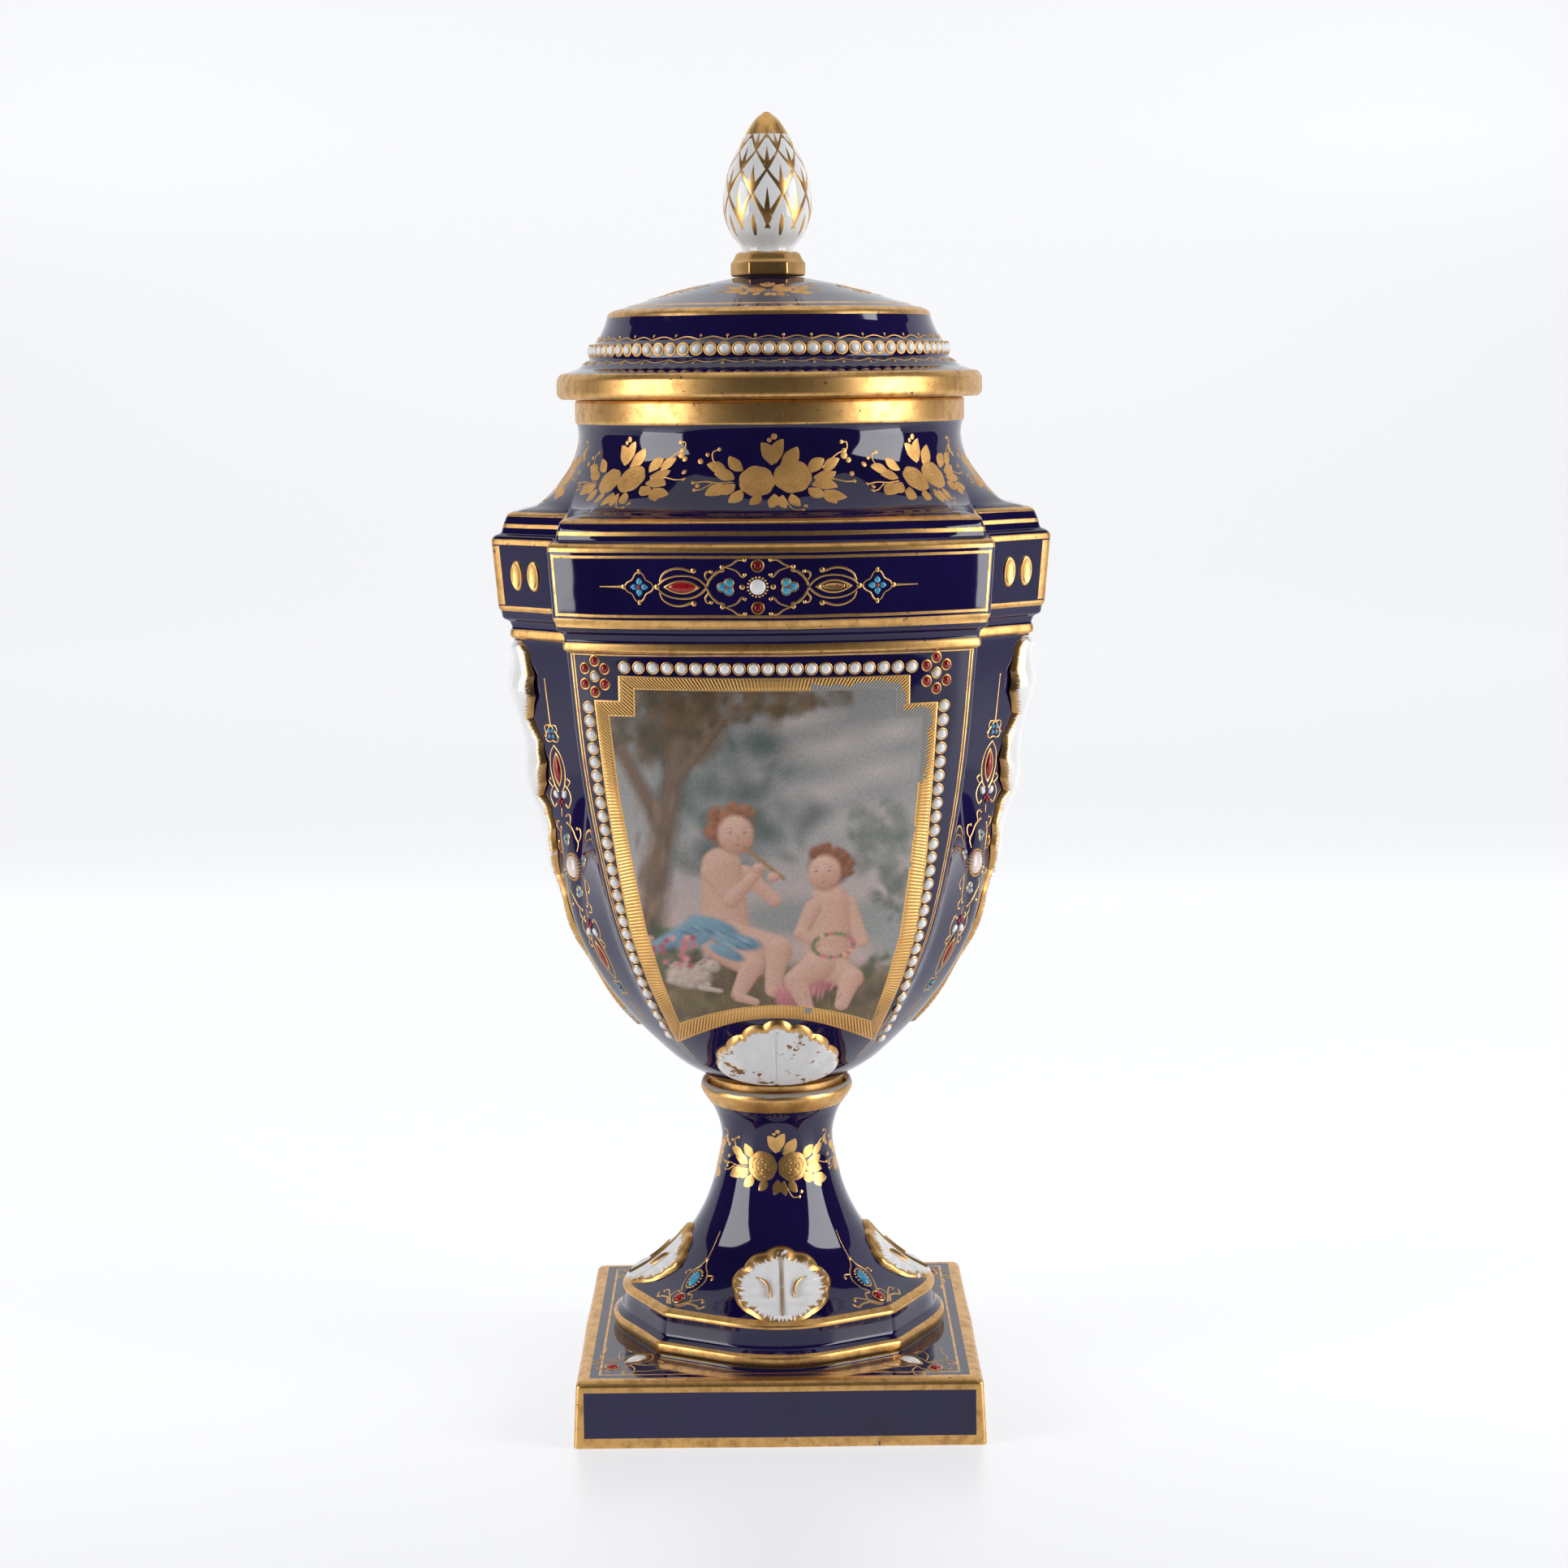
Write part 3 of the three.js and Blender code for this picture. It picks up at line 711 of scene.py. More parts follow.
bpy.ops.object.shade_smooth_by_angle(angle=math.radians(22))
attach(collar, "root")
print("finial shaped")

# ---- laying work on a surface
class Layer:  # thin raised work of one colour on a surface
    tables = {}

    def __init__(self, surface, rows=None):
        self.surface, self.points, self.faces, self.marks, self.count = surface, [], [], [], 0
        self.rows = rows
        if rows is not None:
            order = np.argsort(rows[:, 1], kind="stable")
            self.heights, radii = rows[order, 1], rows[order, 0]
            self.run = np.r_[0, np.cumsum(np.hypot(np.diff(radii), np.diff(self.heights)))]

    def height(self, base, v):  # a height v millimetres up the slope from the base
        if self.rows is None:
            return base + v
        return np.interp(np.interp(base, self.heights, self.run) + v, self.run, self.heights)

    def angle(self, middle, u, z, straight):
        return mix(self.tableAngle(middle, u, np.floor(z), straight),
                   self.tableAngle(middle, u, np.floor(z) + 1, straight), z - np.floor(z))

    def tableAngle(self, middle, u, levels, straight):
        out = np.empty_like(u)
        for level in np.unique(levels):
            key = (id(self.surface), middle, level, straight)
            if key not in Layer.tables:
                span = 80 if straight else 185
                spread = middle + np.linspace(-span, span, 1601)
                line = place(spread, self.surface(spread, level + 0 * spread), level + 0 * spread)
                if straight:
                    run = line @ np.array([math.cos(math.radians(middle)), math.sin(math.radians(middle)), 0])
                else:
                    run = np.r_[0, np.cumsum(np.linalg.norm(np.diff(line, axis=0), axis=1))]
                    run -= run[800]
                Layer.tables[key] = (run, spread)
            run, spread = Layer.tables[key]
            here = levels == level
            out[here] = np.interp(u[here], run, spread)
        return out

    def add(self, middle, base, u, v, lift, faces, straight=False, marks=None):
        u, v = np.asarray(u, float), np.asarray(v, float)
        z = self.height(base, v)
        self.points.append(lifted(self.surface, self.angle(middle, u, z, straight), z, lift))
        self.keep(faces, len(u), marks)

    def keep(self, faces, count, marks=None):
        self.faces.extend(tuple(i + self.count for i in face) for face in faces)
        self.marks.append(np.zeros((count, 2)) if marks is None else marks)
        self.count += count

    def stroke(self, middle, base, path, width, lift=0.14, straight=False, closed=False):
        path = np.array(path, float)
        widths = np.full(len(path), width) if np.isscalar(width) else np.array(width, float)
        if closed:
            path, widths = np.vstack([path, path[:1]]), np.r_[widths, widths[:1]]
        spans = np.linalg.norm(np.diff(path, axis=0), axis=1)
        steps = int(np.clip(spans.max() / 0.55, 2, 12))
        line = np.array(eased(np.column_stack([path, widths]), steps))
        along = np.gradient(line[:, :2], axis=0)
        if closed:
            along[0] = along[-1] = line[1, :2] - line[-2, :2]
        along /= np.maximum(np.linalg.norm(along, axis=1, keepdims=True), 1e-9)
        side = np.column_stack([-along[:, 1], along[:, 0]]) * np.maximum(line[:, 2:3], 0.05) / 2
        spots = np.stack([line[:, :2] + side, line[:, :2], line[:, :2] - side], axis=1).reshape(-1, 2)
        crown = np.tile([0.02, 1.0, 0.02], len(line)) * lift
        faces = []
        for i in range(len(line) - 1):
            a = 3 * i
            faces += [(a, a + 1, a + 4, a + 3), (a + 1, a + 2, a + 5, a + 4)]
        self.add(middle, base, spots[:, 0], spots[:, 1], crown, faces, straight)

    def dot(self, middle, base, spot, radius, lift=0.25, straight=False, sides=10):
        turn = np.linspace(0, 2 * math.pi, sides, endpoint=False)
        wave = np.column_stack([np.cos(turn), np.sin(turn)])
        spots = np.vstack([[spot], spot + wave * radius * 0.62, spot + wave * radius])
        crown = np.r_[lift, np.full(sides, lift * 0.75), np.full(sides, 0.02)]
        faces = [(0, 1 + i, 1 + (i + 1) % sides) for i in range(sides)]
        faces += [(1 + i, 1 + sides + i, 1 + sides + (i + 1) % sides, 1 + (i + 1) % sides)
                  for i in range(sides)]
        self.add(middle, base, spots[:, 0], spots[:, 1], crown, faces, straight)

    def seat(self, middle, base, spot, turn, straight):  # a spot and its three directions
        u = np.array([spot[0], spot[0] + 0.3, spot[0]])
        z = self.height(base, np.array([spot[1], spot[1], spot[1] + 0.3]))
        origin, right, top = lifted(self.surface, self.angle(middle, u, z, straight), z, np.zeros(3))
        across, upward = right - origin, top - origin
        across /= np.linalg.norm(across)
        normal = np.cross(across, upward)
        normal /= np.linalg.norm(normal)
        upward = np.cross(normal, across)
        c, s = math.cos(math.radians(turn)), math.sin(math.radians(turn))
        return origin, across * c + upward * s, upward * c - across * s, normal

    def model(self, model, middle, base, spot, size, turn=0, sink=0.0, straight=False):
        origin, across, upward, normal = self.seat(middle, base, spot, turn, straight)
        points, faces = model
        self.points.append(origin + points[:, :1] * size[0] * across + points[:, 1:2] * size[1] * upward
                           + (points[:, 2:] * size[2] - sink) * normal)
        self.keep(faces, len(points))

    def piece(self, name, material, slot, smooth=True):
        made = newPiece(name, np.vstack(self.points) * mm, [], self.faces)
        made.data.materials.append(material)
        marks = np.vstack(self.marks)
        if marks.any():
            sheet = made.data.uv_layers.new(name="laid")
            corners = np.empty(len(made.data.loops), np.int32)
            made.data.loops.foreach_get("vertex_index", corners)
            sheet.data.foreach_set("uv", marks[corners].astype(np.float32).ravel())
        if smooth:
            bpy.ops.object.shade_smooth()
        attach(made, "root")
        return made


def modelled(make, keepAbove=None, shape=None):  # a small thing modelled once, given as points and faces
    freshStart()
    make()
    model = bpy.context.object
    points = np.array([v.co[:] for v in model.data.vertices])
    faces = [tuple(p.vertices) for p in model.data.polygons]
    bpy.ops.object.delete()
    if keepAbove is not None:
        keep = points[:, 2] > keepAbove
        index = np.cumsum(keep) - 1
        faces = [tuple(int(index[i]) for i in face) for face in faces if all(keep[i] for i in face)]
        points = points[keep]
    if shape:
        points = shape(points)
    return points, faces


def pointed(points):  # drawn out to a point at both ends
    slim = np.sqrt(np.maximum(1 - (points[:, 0] / 1.2) ** 2, 0.02))
    return np.column_stack([points[:, 0] * 1.1, points[:, 1] * slim, points[:, 2] * (0.4 + 0.6 * slim)])


def hollowed(points):  # a dish: its rim up and its middle down
    reach = np.hypot(points[:, 0], points[:, 1])
    return np.column_stack([points[:, :2], np.interp(reach, [0, 0.7, 0.85, 0.95, 1], [0.1, 0.35, 1, 0.9, 0])])


def ball(segments, rings):
    return lambda: bpy.ops.mesh.primitive_uv_sphere_add(segments=segments, ring_count=rings, radius=1)


def hoop(major, minor, thick):
    return lambda: bpy.ops.mesh.primitive_torus_add(
        major_segments=major, minor_segments=minor, major_radius=1, minor_radius=thick)


models = {
    "bead": modelled(ball(12, 8), -0.1), "cabochon": modelled(ball(20, 12), -0.1),
    "hoop": modelled(hoop(16, 5, 0.2), -0.12), "fineHoop": modelled(hoop(24, 5, 0.13), -0.08),
    "marquise": modelled(ball(18, 10), -0.1, pointed),
    "marquiseHoop": modelled(hoop(26, 5, 0.2), -0.12, pointed),
    "dish": modelled(ball(24, 14), -0.1, hollowed),
}
print("small models made")


# ---- enamels and gilding
def leafGold(name, rough):
    gilt = Finish(name).place()
    rub, grain = gilt.noise(150, 4, 0.6), gilt.noise(900, 3, 0.7)
    colour = gilt.blend(rub.over(0.6, 0.3), tones["gold"], tones["goldDeep"])
    gilt.glaze(Base_Color=colour, Metallic=1.0, Roughness=rub * 0.2 + rough)
    gilt.bump(rub * 0.4 + grain * 0.25, 0.2, 0.0002)
    return gilt.material


def enamel(name, tone, deep, rough=0.07, scale=700):
    paint = Finish(name).place()
    cloud = paint.noise(scale, 3, 0.6)
    paint.glaze(Base_Color=paint.blend(cloud.over(0.56, 0.4), tones[tone], deep),
                Roughness=cloud * 0.08 + rough,
                IOR=1.55)
    paint.bump(cloud, 0.1, 0.0002)
    return paint.material


goldWork = leafGold("raisedGold", 0.24)
goldPaint = leafGold("paintedGold", 0.42)
beadWhite = enamel("beadWhite", "enamel", (0.62, 0.62, 0.66), 0.1, 260)
rubyGlass = enamel("rubyGlass", "ruby", (0.12, 0.002, 0.004), 0.05)
blueEnamel = enamel("blueEnamel", "turquoise", (0.02, 0.14, 0.30), 0.1)
roseEnamel = enamel("roseEnamel", "blush", (0.60, 0.50, 0.47), 0.08, 300)


class Pen:  # draws ornaments at one place of a surface, turned or mirrored
    def __init__(self, kit, middle, base, turn=0, flip=1, shift=(0, 0), scale=1, straight=False):
        self.kit, self.middle, self.base, self.turn, self.flip = kit, middle, base, turn, flip
        self.shift, self.scale, self.straight = np.array(shift, float), scale, straight

    def at(self, points):
        points = np.atleast_2d(np.array(points, float)) * self.scale * np.array([1, self.flip])
        c, s = math.cos(math.radians(self.turn)), math.sin(math.radians(self.turn))
        return points @ np.array([[c, s], [-s, c]]) + self.shift

    def line(self, points, width=0.5, lift=0.14, closed=False, colour="gold"):
        width = width if np.isscalar(width) else list(width)
        self.kit[colour].stroke(self.middle, self.base, self.at(points), width, lift, self.straight, closed)

    def leaf(self, start, end, width, lift=0.16, bend=0.0, colour="gold"):
        start, end = np.array(start, float), np.array(end, float)
        side = np.array([-(end - start)[1], (end - start)[0]]) * bend
        path = [start, mix(start, end, 0.25) + side * 0.75, mix(start, end, 0.55) + side,
                mix(start, end, 0.85)
                + side * 0.5, end]
        self.line(path, np.array([0.15, 0.8, 1, 0.55, 0.06]) * width * self.scale, lift, colour=colour)

    def dot(self, spot, radius, lift=0.25, colour="gold"):
        self.kit[colour].dot(self.middle, self.base, self.at(spot)[0], radius * self.scale,
                             lift, self.straight)

    def studs(self, spot, reach, radius, lift, gap):  # a ring of dots, the gap in degrees
        for turn in range(0, 360, gap):
            a = math.radians(turn)
            self.dot((spot[0] + reach[0] * math.cos(a), spot[1] + reach[1] * math.sin(a)), radius, lift)

    def set(self, colour, model, spot, size, turn=0, sink=0.0):
        self.kit[colour].model(models[model], self.middle, self.base, self.at(spot)[0], size,
                               self.turn + turn * self.flip, sink, self.straight)

    def stone(self, colour, spot, size, turn=0, ring=0.35):  # a round or oval stone in its gold ring
        self.set(colour, "cabochon" if size[0] > 1 else "bead", spot, (size[0], size[1], size[0] * 0.55),
                 turn)
        self.set("gold", "hoop" if size[0] < 1.6 else "fineHoop", spot,
                 (size[0] + ring / 2, size[1] + ring / 2, 0.9 + size[0] * 0.8), turn)

    def marquise(self, colour, spot, size, turn=0):
        if colour:
            self.set(colour, "marquise", spot, (size[0], size[1], size[1] * 0.6), turn)
        self.set("gold", "marquiseHoop", spot, (size[0] + 0.2, size[1] + 0.25, 1.3), turn)

    def flower(self, spot, size):  # four blue petals round a red bead, in a gold quatrefoil
        spot = np.array(spot, float)
        for k in range(4):
            way = np.array([math.cos(math.pi / 2 * k), math.sin(math.pi / 2 * k)])
            self.set("blue", "bead", spot + way * size * 0.56, (size * 0.36, size * 0.36, 0.5))
            self.set("blue", "bead", spot + way * size * 0.82, (size * 0.2, size * 0.2, 0.4))
        self.set("red", "bead", spot, (size * 0.28, size * 0.28, 0.7))
        turn = np.linspace(0, 2 * math.pi, 33)[:-1]
        reach = size * (1.38 + 0.26 * np.cos(4 * turn))
        self.line(spot + np.column_stack([np.cos(turn), np.sin(turn)]) * reach[:, None], 0.38, closed=True)

    def trefoil(self, spot, size, turn=0):  # three blue lobes with a red bead
        spot = np.array(spot, float)
        for angle, reach in ((turn, 0.62), (turn + 120, 0.55), (turn - 120, 0.55)):
            way = np.array([math.cos(math.radians(angle)), math.sin(math.radians(angle))])
            self.set("blue", "bead", spot + way * size * reach, (size * 0.55, size * 0.55, 0.5))
            self.line(spot + np.column_stack([
                way[0] * size * reach + np.cos(np.linspace(0, 2 * math.pi, 9)[:-1]) * size * 0.6,
                way[1] * size * reach + np.sin(np.linspace(0, 2 * math.pi, 9)[:-1]) * size * 0.6]),
                0.3, 0.3, closed=True)
        self.set("red", "bead", spot, (size * 0.26, size * 0.26, 0.75))

    def petals(self, spot, size):  # the round of a rose, scalloped at its rim
        layer, sides = self.kit["gold"], 40
        turn = np.linspace(0, 2 * math.pi, sides, endpoint=False)
        reach = size * (1 + 0.06 * np.abs(np.cos(3.5 * turn)) - 0.05)
        wave = np.column_stack([np.cos(turn), np.sin(turn)]) * reach[:, None]
        spots = np.vstack([self.at(spot)] + [self.at(spot + wave * share) for share in (0.4, 0.8, 1.0)])
        crown = np.r_[0.13, np.full(sides, 0.12), np.full(sides, 0.1), np.full(sides, 0.02)]
        faces = [(0, 1 + i, 1 + (i + 1) % sides) for i in range(sides)]
        for ring in (0, 1):
            low, high = 1 + ring * sides, 1 + (ring + 1) * sides
            faces += [(low + i, high + i, high + (i + 1) % sides, low + (i + 1) % sides)
                      for i in range(sides)]
        if self.flip < 0:
            faces = [face[::-1] for face in faces]
        layer.add(self.middle, self.base, spots[:, 0], spots[:, 1], crown, faces, self.straight)

    def scroll(self, points, width=0.5, ball=0.0):
        self.line(points, np.linspace(width * 0.8, width * 1.25, len(points)) * self.scale)
        if ball:
            self.dot(points[-1], ball)


def kitOn(surface, rows=None, kind=Layer):  # one layer for each colour
    return {colour: kind(surface, rows) for colour in ("gold", "red", "blue", "white", "rose")}


def ringed(kit, colour, ring, middle, base, spot, size, ringSize, straight=False):  # a bead in its gold ring
    kit[colour].model(models["bead"], middle, base, spot, size, 0, 0, straight)
    kit["gold"].model(models[ring], middle, base, spot, ringSize, 0, 0, straight)


def finishKit(kit, name, slot, gilding=goldWork):
    finishes = {"gold": gilding, "red": rubyGlass, "blue": blueEnamel, "white": beadWhite, "rose": roseEnamel}
    for colour, layer in kit.items():
        if layer.points:
            layer.piece(name + colour.capitalize(), finishes[colour], slot)


# ---- belt ornament: half of it drawn, then mirrored
belt = {"middleHeight": 260.9, "cabochon": 2.3, "redGap": 5.9, "trefoilAt": 8.6, "trefoil": 2.2,
        "marquiseAt": 21.2, "marquise": (3.9, 1.45), "flowerAt": 33.6, "flower": 2.55,
        "shift": -3.9, "scale": 1.026}
bodyKit = kitOn(bodySurface)


def beltPen(middle):
    return Pen(bodyKit, middle, belt["middleHeight"], 0, 1, (belt["shift"], 0), belt["scale"])


def drawBelt(middle, lostStone):
    for hand in (-1, 1):
        pen = beltPen(middle)
        side = np.array([hand, 1])
        pen.trefoil((hand * belt["trefoilAt"], 0), belt["trefoil"], 0 if hand > 0 else 180)
        lost = lostStone and hand > 0
        pen.marquise(None if lost else "red", (hand * belt["marquiseAt"], 0), belt["marquise"])
        if lost:  # the stone is gone, a scrap of red left in its dull socket
            pen.set("gold", "dish", (hand * belt["marquiseAt"], 0), (3.3, 1.0, 0.22))
            pen.set("red", "bead", (hand * belt["marquiseAt"] + 1.1, 0.15), (0.5, 0.3, 0.25))
        pen.flower((hand * belt["flowerAt"], 0), belt["flower"])
        pen.line(np.array([[38.6, 0], [41, 0], [45.4, 0]]) * side, [0.7, 0.5, 0.3])
        pen.dot((hand * 38.2, 0), 0.7)
        pen.dot((hand * 28.4, 0), 0.75)
        for sign in (-1, 1):
            way = side * np.array([1, sign])
            pen.set("red", "bead", (0, sign * belt["redGap"]), (1.25, 1.25, 0.8))
            pen.set("gold", "hoop", (0, sign * belt["redGap"]), (1.6, 1.6, 1.6))
            pen.dot((hand * 33.6, sign * 4.6), 0.5)
            pen.dot((hand * 33.6, sign * 3.9), 0.35)
            pen.scroll(np.array([[28.4, 0.2], [26.4, 1.9], [23.8, 2.9], [21, 3.2], [18.2, 2.9], [15.9, 1.8],
                                 [14.2, 0.2]]) * way, 0.5)
            pen.scroll(np.array([[27.6, 1.5], [26.6, 3.6], [24, 5], [21.2, 5.2], [18.6, 4.4], [17.9, 4.6]])
                       * way,
                       0.6, 0.75)
            pen.scroll(np.array([[14.2, 0.2], [13.2, 2.2], [11.4, 4.2], [9.6, 4.6], [9.9, 5.6]]) * way,
                       0.6, 0.6)
            pen.scroll(np.array([[13.4, 1.4], [14.6, 2.9], [14.2, 4.2], [13, 4.3]]) * way, 0.5, 0.5)
            pen.scroll(np.array([[12.2, 3.2], [9.4, 5.4], [7.2, 6.4], [5.4, 7.6], [3.6, 7.5]]) * way,
                       0.5, 0.5)
            pen.scroll(np.array([[8.8, 5.6], [6, 4.6], [4.3, 2.9], [3.6, 3.4]]) * way, 0.5, 0.5)
    pen = beltPen(middle)
    pen.studs((0, 0), (2.75, 2.75), 0.36, 0.5, 20)
    pen.set("white", "cabochon", (0, 0), (belt["cabochon"], belt["cabochon"], 0.9))
    for spot in ((4.3, 0), (-4.3, 0)):
        pen.dot(spot, 0.75)


drawBelt(0, True)
drawBelt(180, False)
for corner in (73, -73, 107, -107):  # two gilt dishes on each corner block
    for shift in (-3.6, 3.6):
        bodyKit["gold"].model(models["dish"], corner, 261.0, (shift, 0), (2.5, 4.7, 0.6))
print("belt dressed")


# ---- corner strips of the bowl
strip = {"heights": (127, 145.1, 156.7, 164.4, 172.1, 181, 194, 212.5),
         "angles": (59.4, 60.6, 62.0, 64.2, 67.6, 71.0, 73.4, 74.0),
         "tip": 219.6, "flowers": ((212.5, 2.0), (134.8, 1.6)),
         "gems": ((201.3, (4.2, 1.35)), (145.2, (4.0, 1.2))),
         "heart": 172.1, "end": 130.4}


def stripAngle(z):
    return np.interp(z, strip["heights"], strip["angles"])


def drawStrip(half, hand):  # hand is 1 where the angle grows along with the strip's
    def pen(z, turn=0):
        angle = stripAngle(z)
        drift = math.radians(stripAngle(z + 6) - stripAngle(z - 6)) / 12
        radius = bodySurface(np.array([angle]), np.array([z]))[0]
        lean = math.degrees(math.atan(drift * radius))
        return Pen(bodyKit, half + hand * angle, z, 90 - hand * lean + turn)

    tip = pen(strip["tip"])
    tip.line([[-4, 0], [2, 0], [9.5, 0]], [0.5, 0.45, 0.3])
    tip.dot((9.6, 0), 0.45)
    for z, size in strip["flowers"]:
        pen(z, 45).flower((0, 0), size)
    for z, size in strip["gems"]:
        pen(z).marquise("red", (0, 0), size)
    heart = pen(strip["heart"])
    heart.set("rose", "cabochon", (0, 0), (3.6, 2.7, 1.3))
    heart.studs((0, 0), (4.15, 3.25), 0.42, 0.55, 15)
    for spot, turn in (((9.0, 0), 180), ((-8.2, 0), 0), ((0.4, 7.0), 90), ((-0.4, -7.0), -90)):
        heart.trefoil(spot, 1.6 if spot[0] else 1.5, turn)
    for sign in (-1, 1):
        way = np.array([1, sign])
        for side in (-1, 1):
            arm = way * np.array([side, 1])
            heart.scroll(np.array([[3.6, 3.6], [5.6, 5], [8, 4.4], [11, 3.7], [13.5, 2]]) * arm, 0.5, 0.45)
            heart.scroll(np.array([[6, 4.9], [7.2, 6.8], [9.4, 7.2], [10.2, 6]]) * arm, 0.45, 0.55)
            heart.scroll(np.array([[12.4, 3.1], [14.4, 4.2], [15.9, 3.5], [15.6, 2.4]]) * arm, 0.4, 0.4)
        for (z, _), reach in zip(strip["gems"], (1, -1)):
            gem, out = pen(z), np.array([reach, sign])
            gem.scroll(np.array([[7.6, 0], [4.6, 2.2], [0, 3.1], [-4.6, 2.3], [-7, 0.8]]) * out, 0.45)
            gem.scroll(np.array([[-4.6, 2.3], [-6.6, 4.2], [-9, 4.9], [-11.6, 3.6], [-10.8, 2.4]]) * out,
                       0.45, 0.45)
            gem.scroll(np.array([[-5.4, 3.4], [-3.7, 4.8], [-2.8, 3.8]]) * out, 0.4, 0.45)
            gem.set("white", "bead", (-7.6 * reach, sign * 2.0), (1.4, 1.05, 0.7), sign * 35 * reach)
            gem.set("red", "bead", (-9.9 * reach, sign * 0.85), (0.65, 0.6, 0.5))
        tip.scroll(np.array([[-4, 0], [-6, 1.3], [-8.2, 3]]) * way, 0.4)
    for (z, _), reach in zip(strip["gems"], (1, -1)):
        gem = pen(z)
        gem.set("red", "bead", (-9.0 * reach, 0), (0.7, 0.6, 0.6))
        gem.set("red", "bead", (-11.0 * reach, 0), (0.8, 0.5, 0.5))
        gem.line(np.array([[-12, 0], [-14.5, 0]]) * reach, [0.4, 0.2])
    pen(strip["end"]).line([[0, 0], [-4, 0.3], [-8, -0.3]], [0.4, 0.5, 0.15])


for half, hand in ((0, -1), (0, 1), (180, -1), (180, 1)):
    drawStrip(half, hand)
print("corner strips dressed")

# ---- front panel: a tooled frame with bead rows and corner flowers round a painting
panel = {
    "outer": [(-44.8, 234.6), (40.0, 234.2), (39.9, 225.8), (48.2, 225.8), (46.6, 200), (45.0, 177),
              (42.4, 155), (38.0, 139), (30.0, 117.6), (-0.3, 129.2), (-30.3, 117.6), (-38.4, 139),
              (-43.4, 156), (-46.4, 175.5), (-49.3, 198), (-52.1, 227.2), (-44.8, 227.2)],
    "inner": [(-39.7, 230.5), (35.5, 230.0), (35.5, 221.4), (43.4, 221.4), (42.0, 200), (40.0, 178.5),
              (36.9, 155), (33.0, 139.5), (29.2, 126.2), (-0.3, 134), (-29.2, 126.2), (-33.4, 139.5),
              (-38.0, 157), (-41.4, 177), (-44.9, 198), (-47.4, 222.4), (-39.7, 222.4)],
    "archAt": 8, "archOuter": (117.6, 11.6), "archInner": (126.2, 7.8), "notch": 224.2, "beadPitch": 4.17,
    "beads": [[(-42.9, 237.1), (40.5, 236.6)],
              [(-53.8, 225), (-52.6, 210.4), (-50.6, 193.3), (-49.0, 180.3), (-47.2, 169.6), (-44.4, 155),
               (-40.6, 140.1), (-36.9, 129.5), (-32.9, 120)],
              [(50.0, 224.5), (48.9, 208.2), (48.1, 195.4), (47.0, 182.4), (45.7, 170.3), (43.9, 158.1),
               (41.4, 145.8), (38.4, 133.3), (35.7, 125.1), (32.5, 117.5)]],
    "flowers": ((-51.7, 234.2), (47.7, 234.4)), "petals": (2.92, 4.6),
}


def along(points, pitch):  # spots at an even pitch along a line
    points = np.array(points, float)
    run = np.r_[0, np.cumsum(np.linalg.norm(np.diff(points, axis=0), axis=1))]
    count = int(round(run[-1] / pitch))
    steps = np.linspace(0, run[-1], count + 1)
    return np.column_stack([np.interp(steps, run, points[:, i]) for i in (0, 1)])


def bulge(share):  # the bottom of the frame arches up
    return 1 - (2 * share - 1) ** 2


def drawFrame(middle, layer):
    outer, inner = panel["outer"], panel["inner"]
    travelled = 0
    for i in range(len(outer)):
        a, b, c, d = (np.array(p, float) for p in (
            outer[i], outer[(i + 1) % len(outer)], inner[i], inner[(i + 1) % len(inner)]))
        length = np.linalg.norm(b - a)
        count = max(3, int(length / 1.0))
        share = np.linspace(0, 1, count + 1)[:, None]
        rimLine, innerLine = mix(a, b, share), mix(c, d, share)
        half = i - panel["archAt"]
        if half in (0, 1):  # the two halves of the arch
            whole = share[:, 0] * 0.5 + half * 0.5
            rimLine[:, 1] = panel["archOuter"][0] + panel["archOuter"][1] * bulge(whole)
            innerLine[:, 1] = panel["archInner"][0] + panel["archInner"][1] * bulge(whole)
        across = np.linspace(0, 1, 6)
        spots = np.array([mix(rimLine, innerLine, s) for s in across])
        crown = np.array([0.03, 0.2, 0.17, 0.17, 0.2, 0.03])
        lift = np.repeat(crown, count + 1)
        flat = spots.reshape(-1, 2)
        run = travelled + np.linspace(0, length, count + 1)
        marks = np.column_stack([np.tile(run, 6), np.repeat(across, count + 1)])
        faces = []
        for j in range(5):
            for k in range(count):
                p = j * (count + 1) + k
                faces.append((p, p + count + 1, p + count + 2, p + 1))
        layer.add(middle, 0, flat[:, 0], flat[:, 1], lift, faces, True, marks)
        travelled += length


def drawPanel(middle, kit):
    for line in panel["beads"]:
        for spot in along(line, panel["beadPitch"]):
            ringed(kit, "white", "fineHoop", middle, 0, spot, (1.5, 1.5, 0.9), (1.72, 1.72, 1.9), True)
    wide, tall = panel["petals"]
    for u, z in panel["flowers"]:
        spots = [(u, z)]
        for k in range(6):
            turn = math.radians(60 * k)
            spots.append((u + wide / math.cos(math.radians(30)) * math.sin(turn), z + tall * math.cos(turn)))
        for k, spot in enumerate(spots):
            stone = "white" if k == 0 else "red"
            ringed(kit, stone, "hoop", middle, 0, spot, (1.15, 1.3, 0.9), (1.38, 1.55, 1.4), True)


frontFrame, backFrame = Layer(bodySurface), Layer(bodySurface)
drawFrame(0, frontFrame)
drawFrame(180, backFrame)
drawPanel(0, bodyKit)
drawPanel(180, bodyKit)
print("panel framed")

